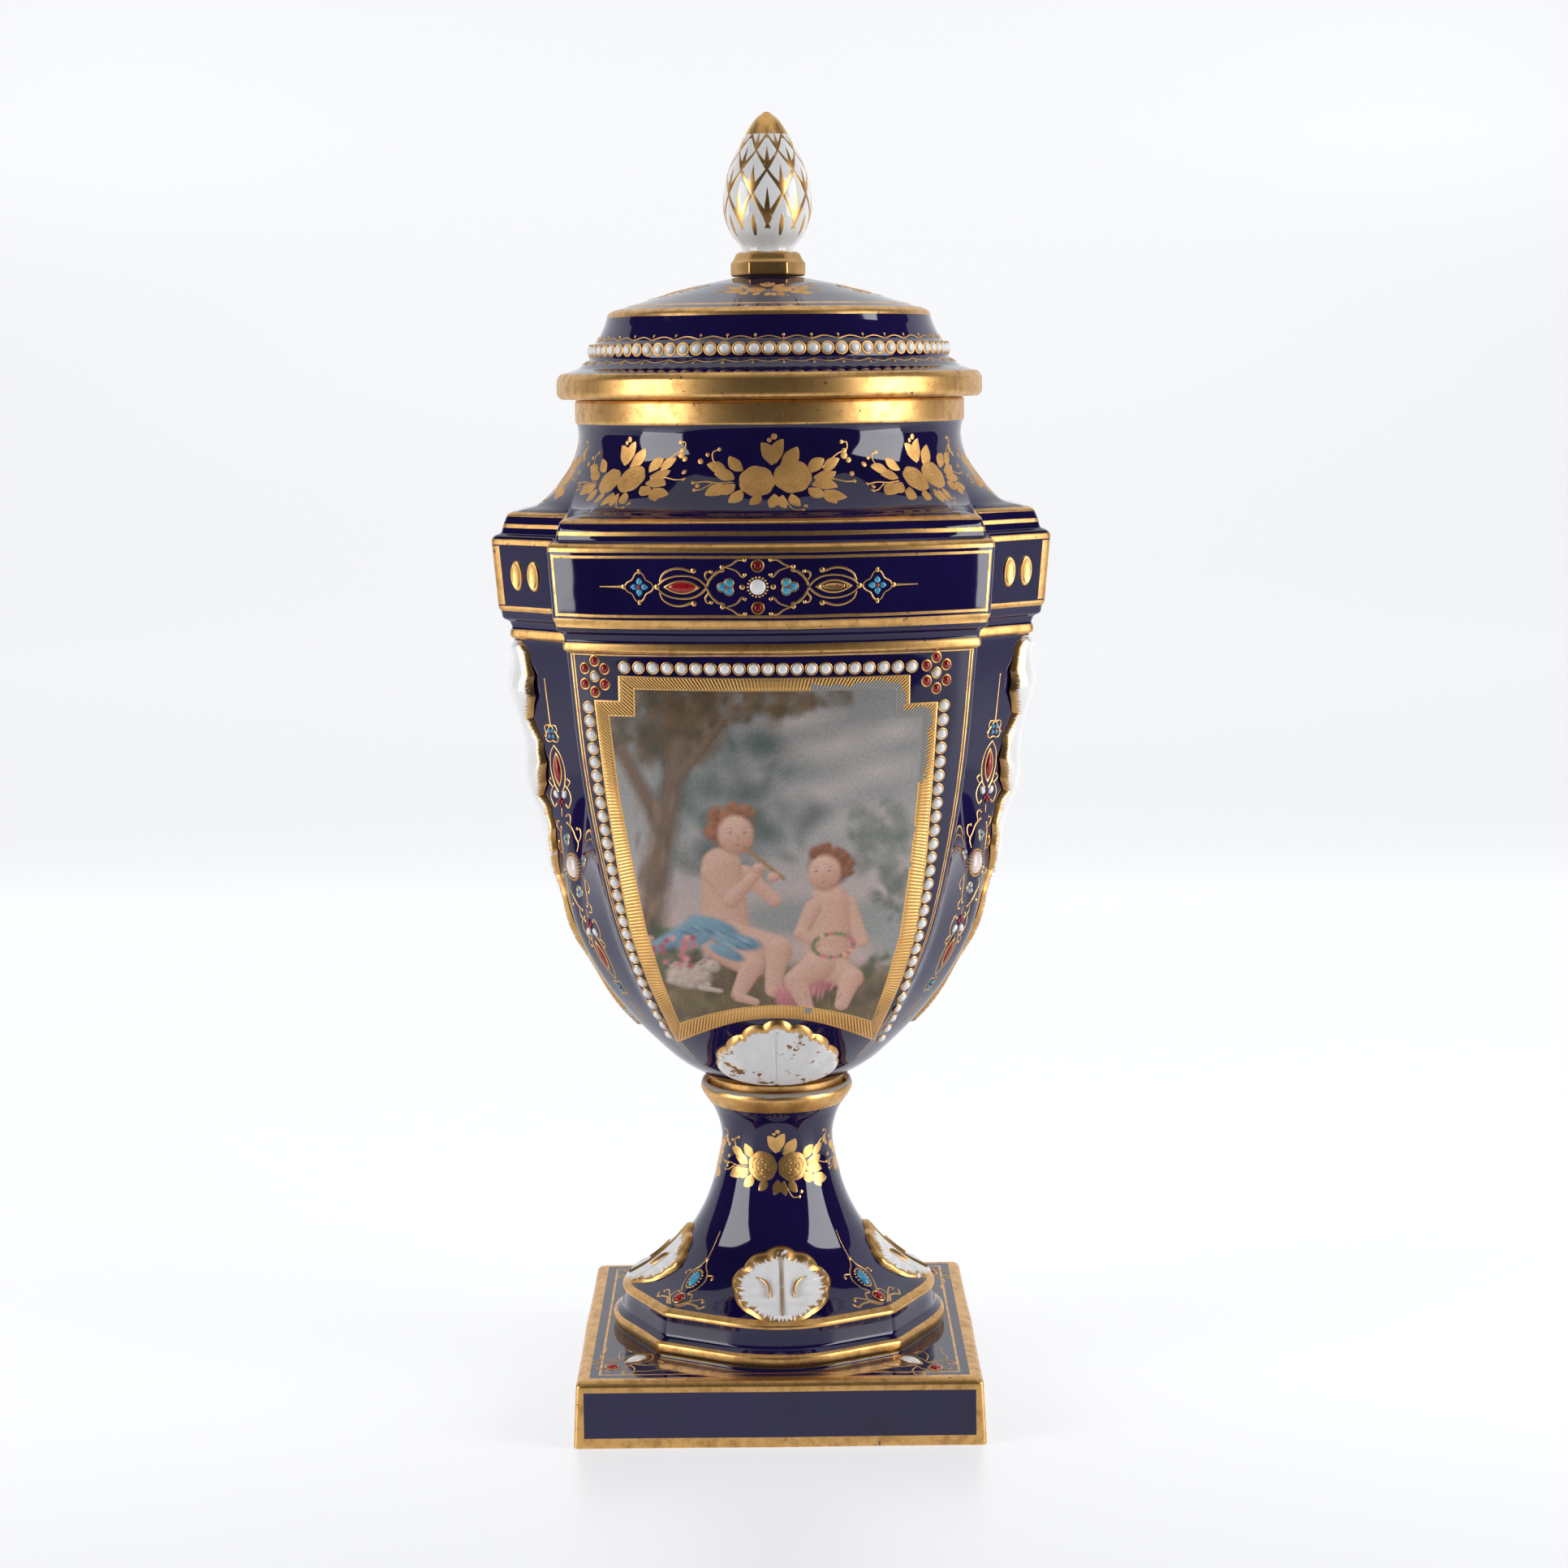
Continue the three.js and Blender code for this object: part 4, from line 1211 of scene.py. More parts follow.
# ---- gold roses and leaves
sprayLeaves = [
    ((-0.5, 5), (-3.6, 11.6), 3.0), ((0.4, 5.5), (2.8, 12.6), 2.8), ((2, 4.6), (6.8, 10.4), 3.2),
    ((10.5, 2.4), (14.8, 6.6), 2.8), ((11.5, 0.8), (18.2, 2.6), 2.8), ((14.8, 2.6), (19.4, 6.6), 2.4),
    ((10, -3), (15, -5.6), 2.7), ((11, -1.8), (18.6, -2.8), 2.8), ((14.6, -4), (21.2, -6.4), 2.8),
    ((14, -5.2), (18, -9), 2.4), ((5, -5), (7.4, -9.8), 2.3), ((0, -5), (-1.5, -10.4), 2.5),
    ((2.4, -5.4), (3.2, -10.8), 2.1), ((-4.4, -4.8), (-7.2, -9), 2.3), ((-11.6, 0.4), (-17.4, 2.2), 2.8),
    ((-11.4, -1.4), (-17, -4), 2.7), ((-13, -2.8), (-20.2, -5.4), 3.0), ((-9.6, -3.4), (-13.4, -8), 2.7),
    ((-14, 2.2), (-19.6, 5.2), 2.6), ((-9, 3.4), (-12.8, 7.8), 2.6),
]
sprayTendrils = [
    [(-12, -0.6), (-16, -0.9), (-20, -0.4), (-24, -0.8)], [(12, 0), (17, 0.2), (21, -0.8), (24, -0.8)],
    [(-14, 3), (-17.4, 6), (-17.8, 8.8), (-15.8, 9.8)],
    [(14, 4), (18.6, 8), (21.6, 9.4), (21.8, 11.4), (20.2, 11.6)],
    [(3.4, -8), (5.6, -11.4), (8.2, -11.6)], [(-18, -1), (-21.6, -3.2), (-23.6, -3.4)],
]
sprayBuds = [((-21.6, 6.2), 0.75), ((-19.4, 8.2), 0.55), ((20.9, 7.6), 0.95), ((22.3, 6.2), 0.75),
             ((21, 9), 0.7), ((-22.6, -1.9), 0.65), ((23.2, 1.8), 0.7), ((0.2, 13.4), 0.8),
             ((-1.2, 12.4), 0.6), ((9, -9.8), 0.6)]


def rose(pen, spot, size):
    spot = np.array(spot, float)
    pen.petals(spot, size)
    for reach, start, width in ((0.74, 20, 0.26), (0.5, 70, 0.24), (0.27, 0, 0.2)):
        for k in range(5):
            turn = np.radians(start + 72 * k + np.linspace(-33, 33, 6))
            wave = reach * size * (1 + 0.07 * np.cos(np.linspace(-math.pi, math.pi, 6)))
            pen.line(spot + np.column_stack([np.cos(turn), np.sin(turn)]) * wave[:, None],
                     np.array([0.3, 0.9, 1, 1, 0.9, 0.3]) * width * size, 0.24 - 0.1 * reach)


def spray(pen, roses):
    for spot, size in roses:
        rose(pen, spot, size)
    for k, (start, end, width) in enumerate(sprayLeaves):
        pen.leaf(start, end, width * 1.4, 0.1, 0.1 if k % 2 else -0.1)
    for path in sprayTendrils:
        pen.line(path, 0.42 * pen.scale, 0.1)
        pen.dot(path[-1], 0.6, 0.1)
    for spot, size in sprayBuds:
        pen.dot(spot, size * 1.15, 0.12)


neckKit = kitOn(bodySurface, bodyRows)
for k in range(8):  # the garland of the neck: a spray every eighth turn
    pen = Pen(neckKit, 45 * k + 1, 290.6, (k % 2) * 3, 1, (0, 0), 1 if k % 2 == 0 else 0.94)
    spray(pen, [((-5.0, -0.5), 5.3), ((5.4, 0.9), 5.6)] if k % 2 == 0
          else [((-4.8, -0.6), 4.7), ((4.6, 0), 5.1)])
finishKit(neckKit, "garland", "body_glaze", goldPaint)

lidKit = kitOn(lidSurface, lidRows)
for k in range(4):
    spray(Pen(lidKit, 90 * k, 345.9, 0, 1, (0, -0.4), 0.66), [((-5.6, 0), 4.6), ((6.2, 0.4), 4.8)])
beadCount, beadRow = 80, 328.4
beadReach = lidSurface(np.array([0.0]), np.array([beadRow]))[0]
for k in range(beadCount):
    ringed(lidKit, "white", "hoop", 360 / beadCount * k, beadRow, (0, 0), (1.62, 1.5, 0.9), (1.86, 1.74, 1.3))
    for height, sign in ((331.4, 1), (325.0, -1)):
        scallop = 2 * math.pi * beadReach / 40
        if k % 2 == 0:
            centre = 360 / beadCount * k
            pen = Pen(lidKit, centre, height, 0, sign)
            pen.line([(-scallop / 2, -0.5), (-scallop / 4, 0.3), (0, 0.7), (scallop / 4, 0.3),
                      (scallop / 2, -0.5)], 0.36)
            pen.dot((scallop / 2, 1.1), 0.42)
            pen.line([(scallop / 2, -0.5), (scallop / 2, 0.9)], 0.25)
finishKit(lidKit, "lidWork", "lid_glaze", goldPaint)
print("neck and lid dressed")

# ---- foot and plinth ornaments
footKit = kitOn(footSurface, footRows)
for k in range(3):
    spray(Pen(footKit, 120 * k, 75.2, 0, 1, (0, 0), 0.84), [((-5.6, 0), 5.6), ((5.8, -0.2), 5.6)])
for corner in (45, 135, 225, 315):
    pen = Pen(footKit, corner, footTop + 0.05, 90)
    pen.line([(30, 0), (26, 0.1), (20.6, 0)], [0.25, 0.35, 0.5])
    pen.dot((20.2, 0), 0.75)
    pen.set("blue", "cabochon", (12.6, 0), (2.9, 1.5, 0.9))
    pen.studs((12.6, 0), (3.5, 2.1), 0.36, 0.4, 20)
    pen.set("red", "cabochon", (4.6, 0), (1.7, 1.5, 1.0))
    pen.set("gold", "fineHoop", (4.6, 0), (2.1, 1.9, 2))
    for sign in (-1, 1):
        way = np.array([1, sign])
        pen.scroll(np.array([[20, 0.2], [17.6, 1.3], [15.4, 3.1], [12.4, 4.1], [9.2, 3.2],
                             [7, 1.6], [6.6, 3.4],
                             [4.6, 4.4], [2.2, 4.2], [0.9, 2]]) * way, 0.5)
        pen.scroll(np.array([[14.6, 3.4], [14.9, 5.2], [13.6, 6]]) * way, 0.5, 0.5)
        pen.scroll(np.array([[1.2, 0.8], [2.8, 4.4], [2.4, 7.6], [1.4, 9.6], [2.6, 10.6]]) * way, 0.65, 0.6)
        pen.scroll(np.array([[1.2, 0.8], [4.2, 5.4], [5.4, 7.8], [4.4, 9]]) * way, 0.55, 0.6)
finishKit(footKit, "footWork", "pedestal_glaze")


class TopLayer(Layer):  # work on the flat top of the plinth: u to the right and v to the back
    def add(self, middle, base, u, v, lift, faces, straight=False, marks=None):
        turn = math.radians(middle)
        u, v = np.asarray(u, float), np.asarray(v, float)
        self.points.append(np.column_stack([u * math.cos(turn) - v * math.sin(turn), u * math.sin(turn) + v
                                            * math.cos(turn), base + np.broadcast_to(lift, u.shape)]))
        self.keep(faces, len(u), marks)

    def seat(self, middle, base, spot, turn, straight):
        whole = math.radians(middle)
        c, s = math.cos(whole), math.sin(whole)
        origin = np.array([spot[0] * c - spot[1] * s, spot[0] * s + spot[1] * c, base])
        a = whole + math.radians(turn)
        return (origin, np.array([math.cos(a), math.sin(a), 0]), np.array([-math.sin(a), math.cos(a), 0]),
                np.array([0, 0, 1.0]))


topKit = kitOn(None, None, TopLayer)
for k in range(4):  # a corner ornament along the diagonal, the corner at -45 degrees
    pen = Pen(topKit, 90 * k, foot["plinthHeight"], 45, 1, (-45.2, -41.4))
    pen.marquise("white", (1.6, 0), (3.7, 1.9))
    pen.set("red", "cabochon", (-8.4, 0), (1.5, 1.5, 0.9))
    pen.set("gold", "fineHoop", (-8.4, 0), (1.9, 1.9, 1.7))
    for sign in (-1, 1):
        way = np.array([1, sign])
        pen.scroll(np.array([[-10.6, 0.4], [-8.8, 2.8], [-6, 3.2], [-3.2, 2.4], [0.4, 3.6],
                             [4, 3.8], [6.6, 2.2],
                             [8.4, 0]]) * way, 0.5)
        pen.scroll(np.array([[-3.4, 2.6], [-4.6, 6], [-7.4, 8.2], [-9.8, 8.2], [-10, 6.2], [-8.4, 5.8]])
                   * way, 0.55, 0.5)
        pen.scroll(np.array([[-2, 3], [0.4, 6.6], [3.6, 8.6], [5.6, 7.8], [5.4, 6.2]]) * way, 0.5, 0.5)
        pen.scroll(np.array([[-6, 8], [-3.6, 10.6], [0, 12.4], [3, 15.2]]) * way, 0.4)
        pen.scroll(np.array([[-10.6, 0.4], [-12.4, 1.8], [-12, 3.2]]) * way, 0.4, 0.4)
finishKit(topKit, "plinthWork", "pedestal_glaze")
print("foot and plinth dressed")


# ---- carved leaves, white with brushed gold
def leafGlaze(name, edge, brush, lean, flecks):
    paint = Finish(name).place()
    laid = paint.node("ShaderNodeUVMap", {"uv_map": "laid"})
    split = paint.node("ShaderNodeSeparateXYZ", Vector=paint.wire(laid))
    share, way = paint.wire(split, 0), paint.wire(split, 1)  # 0 to 1 from the heart out, 1 towards the tip
    stroke = paint.node("ShaderNodeCombineXYZ", X=share * 3, Y=way * 60, Z=0.0)
    streak = paint.wire(paint.node("ShaderNodeTexNoise", Vector=paint.wire(stroke), Scale=1.0, Detail=3.0))
    fleck = paint.noise(170, 4, 0.65)
    gold = (share + (streak - 0.5) * brush + way * lean).over(edge, 0.03) * (1 - fleck.over(0.66, 0.04))
    gold = gold.orElse(fleck.over(flecks, 0.02) * share.within(0.3, 0.9, 0.2))
    milk = paint.blend(paint.noise(90, 3), tones["enamel"], tones["milk"])
    paint.glaze(Base_Color=paint.blend(gold, milk, paint.blend(fleck, tones["gold"], tones["goldDeep"])),
                Metallic=gold, Roughness=gold * 0.25 + 0.09, IOR=1.5)
    paint.bump(gold * 0.2 + streak * gold * 0.3, 0.25, 0.0003)
    return paint.material


def fanLeaf(layer, middle, base, centre, reach, relief, rings=26, rays=120):  # a leaf spread round its heart
    turn = np.linspace(0, 2 * math.pi, rays, endpoint=False)
    rim = reach(turn)
    share = np.r_[0, np.linspace(0.06, 1, rings)]
    u = centre[0] + np.outer(share[1:], rim * np.sin(turn)).ravel()
    v = centre[1] + np.outer(share[1:], rim * np.cos(turn)).ravel()
    u, v = np.r_[centre[0], u], np.r_[centre[1], v]
    marks = np.column_stack([np.r_[0, np.repeat(share[1:], rays)], np.r_[0, np.tile(turn / math.pi, rings)]])
    marks[:, 1] = np.abs(marks[:, 1] - 1)
    lift = relief(u, v) * np.minimum(1, (1.02 - marks[:, 0]) / 0.1) - 0.25 * (marks[:, 0] > 0.99)
    faces = [(0, 1 + (i + 1) % rays, 1 + i) for i in range(rays)]
    for ring in range(rings - 1):
        low, high = 1 + ring * rays, 1 + (ring + 1) * rays
        faces += [(low + i, low + (i + 1) % rays, high + (i + 1) % rays, high + i) for i in range(rays)]
    layer.add(middle, base, u, v, lift, faces, False, marks)


footLeaf = {"heart": 12.4, "half": 16.4, "rise": 14.0, "relief": 1.7, "turn": 1.4}


def footLeafReach(turn):
    power = np.where(np.cos(turn) > 0, 1.65, 2.0)
    round_ = ((np.abs(np.sin(turn)) / footLeaf["half"]) ** power
              + (np.abs(np.cos(turn)) / footLeaf["rise"]) ** power) ** (-1 / power)
    top = 0.5 + 0.5 * np.cos(turn)
    return round_ * (1 + 0.06 * top ** 6 - top ** 0.5 * 0.07 * (1 - np.abs(np.cos(turn * 4.5)) ** 0.7))


def footLeafRelief(u, v):
    w = np.abs(u) / footLeaf["half"]
    cup = 1 - 0.45 * np.exp(-((w - 0.28) / 0.16) ** 2) - 0.35 * np.exp(-((w - 0.72) / 0.14) ** 2)
    ripple = 0.12 * np.sin(v * 1.6 + w * 4) * w
    return footLeaf["relief"] * (cup + ripple) * (0.75 + 0.25 * v / 26) - 0.35 * np.exp(-(u / 0.5) ** 2)


shell = {"heart": 15.5, "half": 20.0, "rise": 20.8, "fall": 15.6, "relief": 1.9}


def shellReach(turn):  # pointed above, round below, with seven lobes above
    above = np.cos(turn) > 0
    power, tall = np.where(above, 1.6, 2.1), np.where(above, shell["rise"], shell["fall"])
    outline = ((np.abs(np.sin(turn)) / shell["half"]) ** power
               + (np.abs(np.cos(turn)) / tall) ** power) ** (-1 / power)
    lobes = (1 - np.abs(np.cos(turn * 7)) ** 0.7) * np.clip(0.35 + np.cos(turn), 0, 1) ** 0.5
    return outline * (1 - 0.075 * lobes)


def shellRelief(u, v):
    ribs = 0.5 + 0.5 * np.cos(np.arctan2(u, v + 2.0) * 14)
    return shell["relief"] * (0.68 + 0.32 * ribs * np.clip(v / 22, 0, 1)) - 0.45 * np.exp(-(u / 0.5) ** 2)


leafLayer = Layer(footSurface, footRows)
for k in range(4):
    fanLeaf(leafLayer, 90 * k + footLeaf["turn"], footTop + 0.2, (0, footLeaf["heart"]),
            footLeafReach, footLeafRelief)
leafLayer.piece("footLeaves", leafGlaze("footLeafGlaze", 0.94, 0.5, 0.26, 0.8), "pedestal_glaze")
shellLayer = Layer(bodySurface, bodyRows)
for k in range(2):
    fanLeaf(shellLayer, 180 * k, 103.6, (0.4, shell["heart"]), shellReach, shellRelief, 30, 140)
shellLayer.piece("bowlShells", leafGlaze("shellGlaze", 1.0, 0.16, 0.13, 0.60), "body_glaze")

sideLeaf = {"half": 13.5, "relief": 2.3, "lobes": 5, "rows": 200, "columns": 56,
            "curls": ((226.5, 6.0, 3.0), (198, 7.5, 1.6))}  # height, spread and rise of each outward curl


def sideLeaves():
    layer = Layer(bodySurface)
    t = np.linspace(0, 1, sideLeaf["rows"] + 1)[:, None]
    s = np.linspace(-1, 1, sideLeaf["columns"] + 1)[None, :]
    lobe = np.abs(np.sin(sideLeaf["lobes"] * math.pi * t))
    half = np.minimum(sideLeaf["half"], 24 * t ** 0.6) * (0.82 + 0.18 * lobe ** 0.7) + 0.3
    notch = 1 - 0.035 * np.abs(np.sin(sideLeaf["lobes"] * 3.5 * math.pi * t))
    vein = np.cos(2 * math.pi * (sideLeaf["lobes"] * t - 0.55 * np.abs(s) + 0.2))
    lift = sideLeaf["relief"] * (0.66 + 0.2 * vein * np.abs(s) ** 0.5 + 0.14 * np.cos(8 * s))
    lift = lift * np.minimum(1, (1.02 - np.abs(s)) / 0.08) - 0.5 * np.exp(-(s / 0.035) ** 2)
    lift = lift * np.minimum(1, np.minimum(t, 1 - t) / 0.015 + 0.05) - 0.2 * (np.abs(s) > 0.99)
    low, high = rise(0.11), bowlTop - 0.5
    z = mix(low, high, t) + 2.4 * (np.abs(s) ** 2) * np.minimum(t, 1 - t) * 2
    for height, spread, risen in sideLeaf["curls"]:
        lift = lift + risen * np.exp(-((z - height) / spread) ** 2) * np.clip(1.04 - np.abs(s), 0, 1) ** 0.5
    across = sideLeaf["columns"] + 1
    faces = []
    for i in range(sideLeaf["rows"]):
        for j in range(sideLeaf["columns"]):
            a = i * across + j
            faces.append((a, a + 1, a + across + 1, a + across))
    for middle in (90, 270):
        angle = middle + s * half * notch
        zz = np.minimum(z, high) + 0 * angle
        layer.points.append(lifted(bodySurface, angle.ravel(), zz.ravel(), (lift + 0 * angle).ravel()))
        layer.keep(faces, angle.size, np.column_stack([np.abs(s + 0 * t).ravel(), (t + 0 * s).ravel() * 6]))
    layer.piece("sideLeaves", leafGlaze("sideLeafGlaze", 0.92, 0.3, 0, 0.68), "body_glaze")


sideLeaves()
leafGilt = Layer(footSurface, footRows)
for k in range(4):
    for path, width in (([(0, 0.6), (0, 12), (0, 25)], [0.9, 0.8, 0.5]),
                        ([(-7.6, 15.4), (-5.0, 14.4), (-3.8, 11.6), (-3.9, 8.2)], [0.4, 1.5, 1.5, 0.6]),
                        ([(7.6, 15.4), (5.0, 14.4), (3.8, 11.6), (3.9, 8.2)], [0.4, 1.5, 1.5, 0.6])):
        leafGilt.stroke(90 * k + footLeaf["turn"], footTop + 0.2, path, width, 1.85)
leafGilt.piece("footLeafVeins", goldWork, "pedestal_glaze")
print("leaves carved")

# ---- the painting of the front panel: a pastoral of soft dabs, kept as a colour on each point
def tone(r, g, b):
    return np.array([((c / 255 + 0.055) / 1.055) ** 2.4 for c in (r, g, b)])


varnish = np.array([0.80, 0.68, 0.66])  # the warm, slightly dull cast of the whole picture


class Canvas:
    def __init__(self, x, z, seed):
        self.x, self.z, self.dice = x, z, random.Random(seed)
        self.colour = np.zeros((len(x), 3))

    def lay(self, share, colour):
        share = np.clip(share, 0, 1)[:, None]
        self.colour = self.colour * (1 - share) + colour * share

    def local(self, centre, turn):
        dx, dz = self.x - centre[0], self.z - centre[1]
        c, s = math.cos(math.radians(turn)), math.sin(math.radians(turn))
        return dx * c + dz * s, dz * c - dx * s

    def dab(self, colour, centre, size, turn=0, soft=0.5, power=1.0):
        a, b = self.local(centre, turn)
        self.lay((1 - np.hypot(a / size[0], b / size[1])) / soft * power, colour)

    def form(self, centre, size, light, dark, turn=0, soft=0.16, lamp=(-0.35, 0.75)):  # a shaded form
        a, b = self.local(centre, turn)
        reach = np.hypot(a / size[0], b / size[1])
        dx, dz = (self.x - centre[0]) / max(size), (self.z - centre[1]) / max(size)
        shade = np.clip(0.62 + 0.6 * (dx * lamp[0] + dz * lamp[1]) - 0.22 * reach ** 3, 0, 1)[:, None]
        share = np.clip((1 - reach) / soft, 0, 1)[:, None]
        self.colour = self.colour * (1 - share) + (dark + (light - dark) * shade) * share

    def limb(self, a, b, thick, light, dark, soft=0.25):
        ax, az, bx, bz = *a, *b
        length = (bx - ax) ** 2 + (bz - az) ** 2
        t = np.clip(((self.x - ax) * (bx - ax) + (self.z - az) * (bz - az)) / length, 0, 1)
        dx, dz = self.x - mix(ax, bx, t), self.z - mix(az, bz, t)
        radius = mix(thick[0], thick[1], t)
        reach = np.hypot(dx, dz) / radius
        shade = np.clip(0.6 + 0.42 * (dx * -0.35 + dz * 0.75) / radius - 0.2 * reach ** 3, 0, 1)[:, None]
        share = np.clip((1 - reach) / soft, 0, 1)[:, None]
        self.colour = self.colour * (1 - share) + (dark + (light - dark) * shade) * share

    def foliage(self, colours, centre, spread, count, size, power=0.6):
        for _ in range(count):
            turn, reach = self.dice.uniform(0, 360), math.sqrt(self.dice.random())
            spot = (centre[0] + spread[0] * reach * math.cos(turn),
                    centre[1] + spread[1] * reach * math.sin(turn))
            leafSize = size * self.dice.uniform(0.5, 1.4)
            self.dab(self.dice.choice(colours), spot, (leafSize, leafSize * 0.6), turn, 0.9, power)


def pastoral(x, z):
    art = Canvas(x, z, 7)
    skyHigh, skyLow = tone(140, 150, 150), tone(176, 184, 184)
    cloud, warm = tone(198, 200, 196), tone(196, 184, 178)
    art.lay(np.ones(len(x)), skyHigh)
    art.lay((232 - z) / 60, skyLow)
    art.lay((185 - z) / 30, warm)
    for spot, size in (((18, 214), (22, 7)), ((30, 206), (16, 6)), ((8, 222), (16, 5)), ((26, 192), (18, 6)),
                       ((36, 218), (10, 5)), ((14, 200), (14, 5))):
        art.dab(cloud, spot, size, 8, 1.0, 0.7)
        art.dab(skyHigh, (spot[0] + 3, spot[1] - size[1]), (size[0] * 0.8, size[1] * 0.6), 4, 1.0, 0.35)
    farHills = [tone(150, 162, 160), tone(134, 150, 146)]
    for spot, size in (((30, 160), (26, 9)), ((6, 162), (24, 8)), ((40, 152), (16, 10))):
        art.dab(farHills[0], spot, size, 0, 0.4, 0.7)
    shade = [tone(92, 116, 112), tone(84, 104, 100), tone(108, 128, 120), tone(74, 92, 86)]
    art.foliage(shade, (-12, 196), (24, 22), 90, 7, 0.5)
    art.foliage([tone(120, 134, 124), tone(132, 146, 138), tone(104, 120, 112)], (30, 186),
                (9, 12), 60, 4, 0.55)
    art.foliage([tone(118, 130, 120), tone(98, 114, 106)], (36, 168), (8, 8), 40, 3.6, 0.6)
    leaves = [tone(98, 84, 62), tone(112, 96, 70), tone(82, 76, 58), tone(126, 108, 80), tone(70, 74, 60)]
    art.foliage(leaves, (-32, 222), (18, 14), 150, 5, 0.6)
    art.foliage(leaves, (-10, 228), (24, 6), 90, 4, 0.55)
    art.foliage([tone(122, 106, 82), tone(96, 88, 66)], (8, 229), (16, 4), 40, 3, 0.5)
    for a, b, thick in (((-40, 132), (-35, 176), (8, 6)), ((-35, 174), (-27, 214), (6, 4)),
                        ((-33, 190), (-44, 212), (4, 3)), ((-28, 204), (-14, 222), (2.4, 1.2))):
        art.limb(a, b, thick, tone(142, 124, 104), tone(74, 62, 50), 0.7)
    for k in range(26):
        spot = (art.dice.uniform(-42, -29), art.dice.uniform(150, 205))
        art.dab(art.dice.choice([tone(164, 146, 122), tone(84, 68, 54)]), spot, (1.2, 4.5), -8, 0.9, 0.45)
    ground = [tone(112, 104, 62), tone(96, 88, 54), tone(124, 116, 72), tone(104, 80, 52), tone(134, 128, 84)]
    art.lay((147 + 2.5 * np.sin(x / 9) - z) / 6, tone(112, 102, 64))
    art.foliage(ground, (-2, 136), (48, 10), 180, 4.6, 0.5)
    art.foliage([tone(86, 64, 44), tone(98, 74, 50), tone(80, 70, 44)], (-2, 126), (44, 6), 80, 4, 0.5)
    bush = [tone(74, 92, 66), tone(92, 108, 74), tone(62, 78, 60), tone(106, 118, 80)]
    art.foliage(bush, (-34, 150), (12, 8), 90, 3.2, 0.65)
    art.foliage(bush, (34, 144), (10, 5), 50, 2.8, 0.55)
    for k in range(90):
        spot = (art.dice.uniform(-42, 40), art.dice.uniform(126, 147))
        art.dab(art.dice.choice([tone(146, 138, 84), tone(120, 122, 66), tone(88, 84, 50)]),
                spot, (0.35, 2.6),
                art.dice.uniform(-25, 25), 0.9, 0.6)
    skin, skinShade = tone(232, 206, 186), tone(178, 132, 108)
    blue, blueShade = tone(142, 188, 206), tone(66, 112, 142)
    pink, pinkShade = tone(214, 150, 152), tone(142, 72, 78)
    bank = [tone(98, 86, 60), tone(84, 74, 52), tone(116, 104, 74)]
    art.foliage(bank, (-14, 144), (14, 6), 70, 4, 0.7)
    art.foliage(bank, (20, 138), (14, 5), 60, 4, 0.7)
    middleX, middleZ, share = -6, 165, 0.86  # the figures are drawn a little smaller round this spot
    art.x, art.z = middleX + (x - middleX) / share, middleZ + (z - middleZ) / share
    seatedPiper(art, skin, skinShade, blue, blueShade)
    wreathMaker(art, skin, skinShade, pink, pinkShade)
    restingLamb(art)
    art.x, art.z = x, z
    for k in range(22):
        spot = (-31 + art.dice.uniform(-7, 7), 151 + art.dice.uniform(-5, 5))
        art.dab(art.dice.choice([tone(206, 130, 134), tone(178, 82, 88), tone(222, 168, 164)]),
                spot, (1.6, 1.4), 0,
                0.7, 0.85)
    for k in range(60):
        spot = (art.dice.uniform(-40, 38), art.dice.uniform(124, 138))
        art.dab(art.dice.choice([tone(150, 140, 76), tone(128, 66, 48), tone(96, 96, 54)]), spot, (0.3, 2.2),
                art.dice.uniform(-30, 30), 0.9, 0.6)
    return art.colour * varnish


def childHead(art, spot, size, look, skin, skinShade, hair, hairShade):
    x, z = spot
    art.form((x - look * size * 0.12, z + size * 0.22), (size * 1.12, size * 1.05), hair, hairShade, 0, 0.3)
    art.form((x + look * size * 0.12, z - size * 0.08), (size * 0.84, size * 0.94), skin, skinShade, 0, 0.22)
    for k in range(26):  # curls
        turn = math.radians(art.dice.uniform(25, 205) if look > 0 else art.dice.uniform(-25, 155))
        reach = size * art.dice.uniform(0.82, 1.12)
        curl = (x + reach * math.cos(turn), z + size * 0.2 + reach * math.sin(turn) * 0.95)
        art.form(curl, (size * 0.26, size * 0.22), hair, hairShade, art.dice.uniform(0, 180), 0.7)
    face = x + look * size * 0.2
    dark, blush = tone(96, 62, 50), tone(226, 156, 142)
    for side in (-1, 1):
        art.dab(blush, (face + side * size * 0.4, z - size * 0.34), (size * 0.24, size * 0.2), 0, 1.0, 0.5)
        art.dab(dark, (face + side * size * 0.3, z + size * 0.02), (size * 0.13, size * 0.055), 0, 0.8, 0.8)
        art.dab(skinShade, (face + side * size * 0.3, z + size * 0.2), (size * 0.19, size * 0.04),
                side * 8, 0.8, 0.7)
    art.dab(skinShade, (face + look * size * 0.03, z - size * 0.22), (size * 0.09, size * 0.13), 0, 0.9, 0.55)
    art.dab(tone(190, 96, 90), (face, z - size * 0.5), (size * 0.16, size * 0.06), 0, 0.8, 0.85)


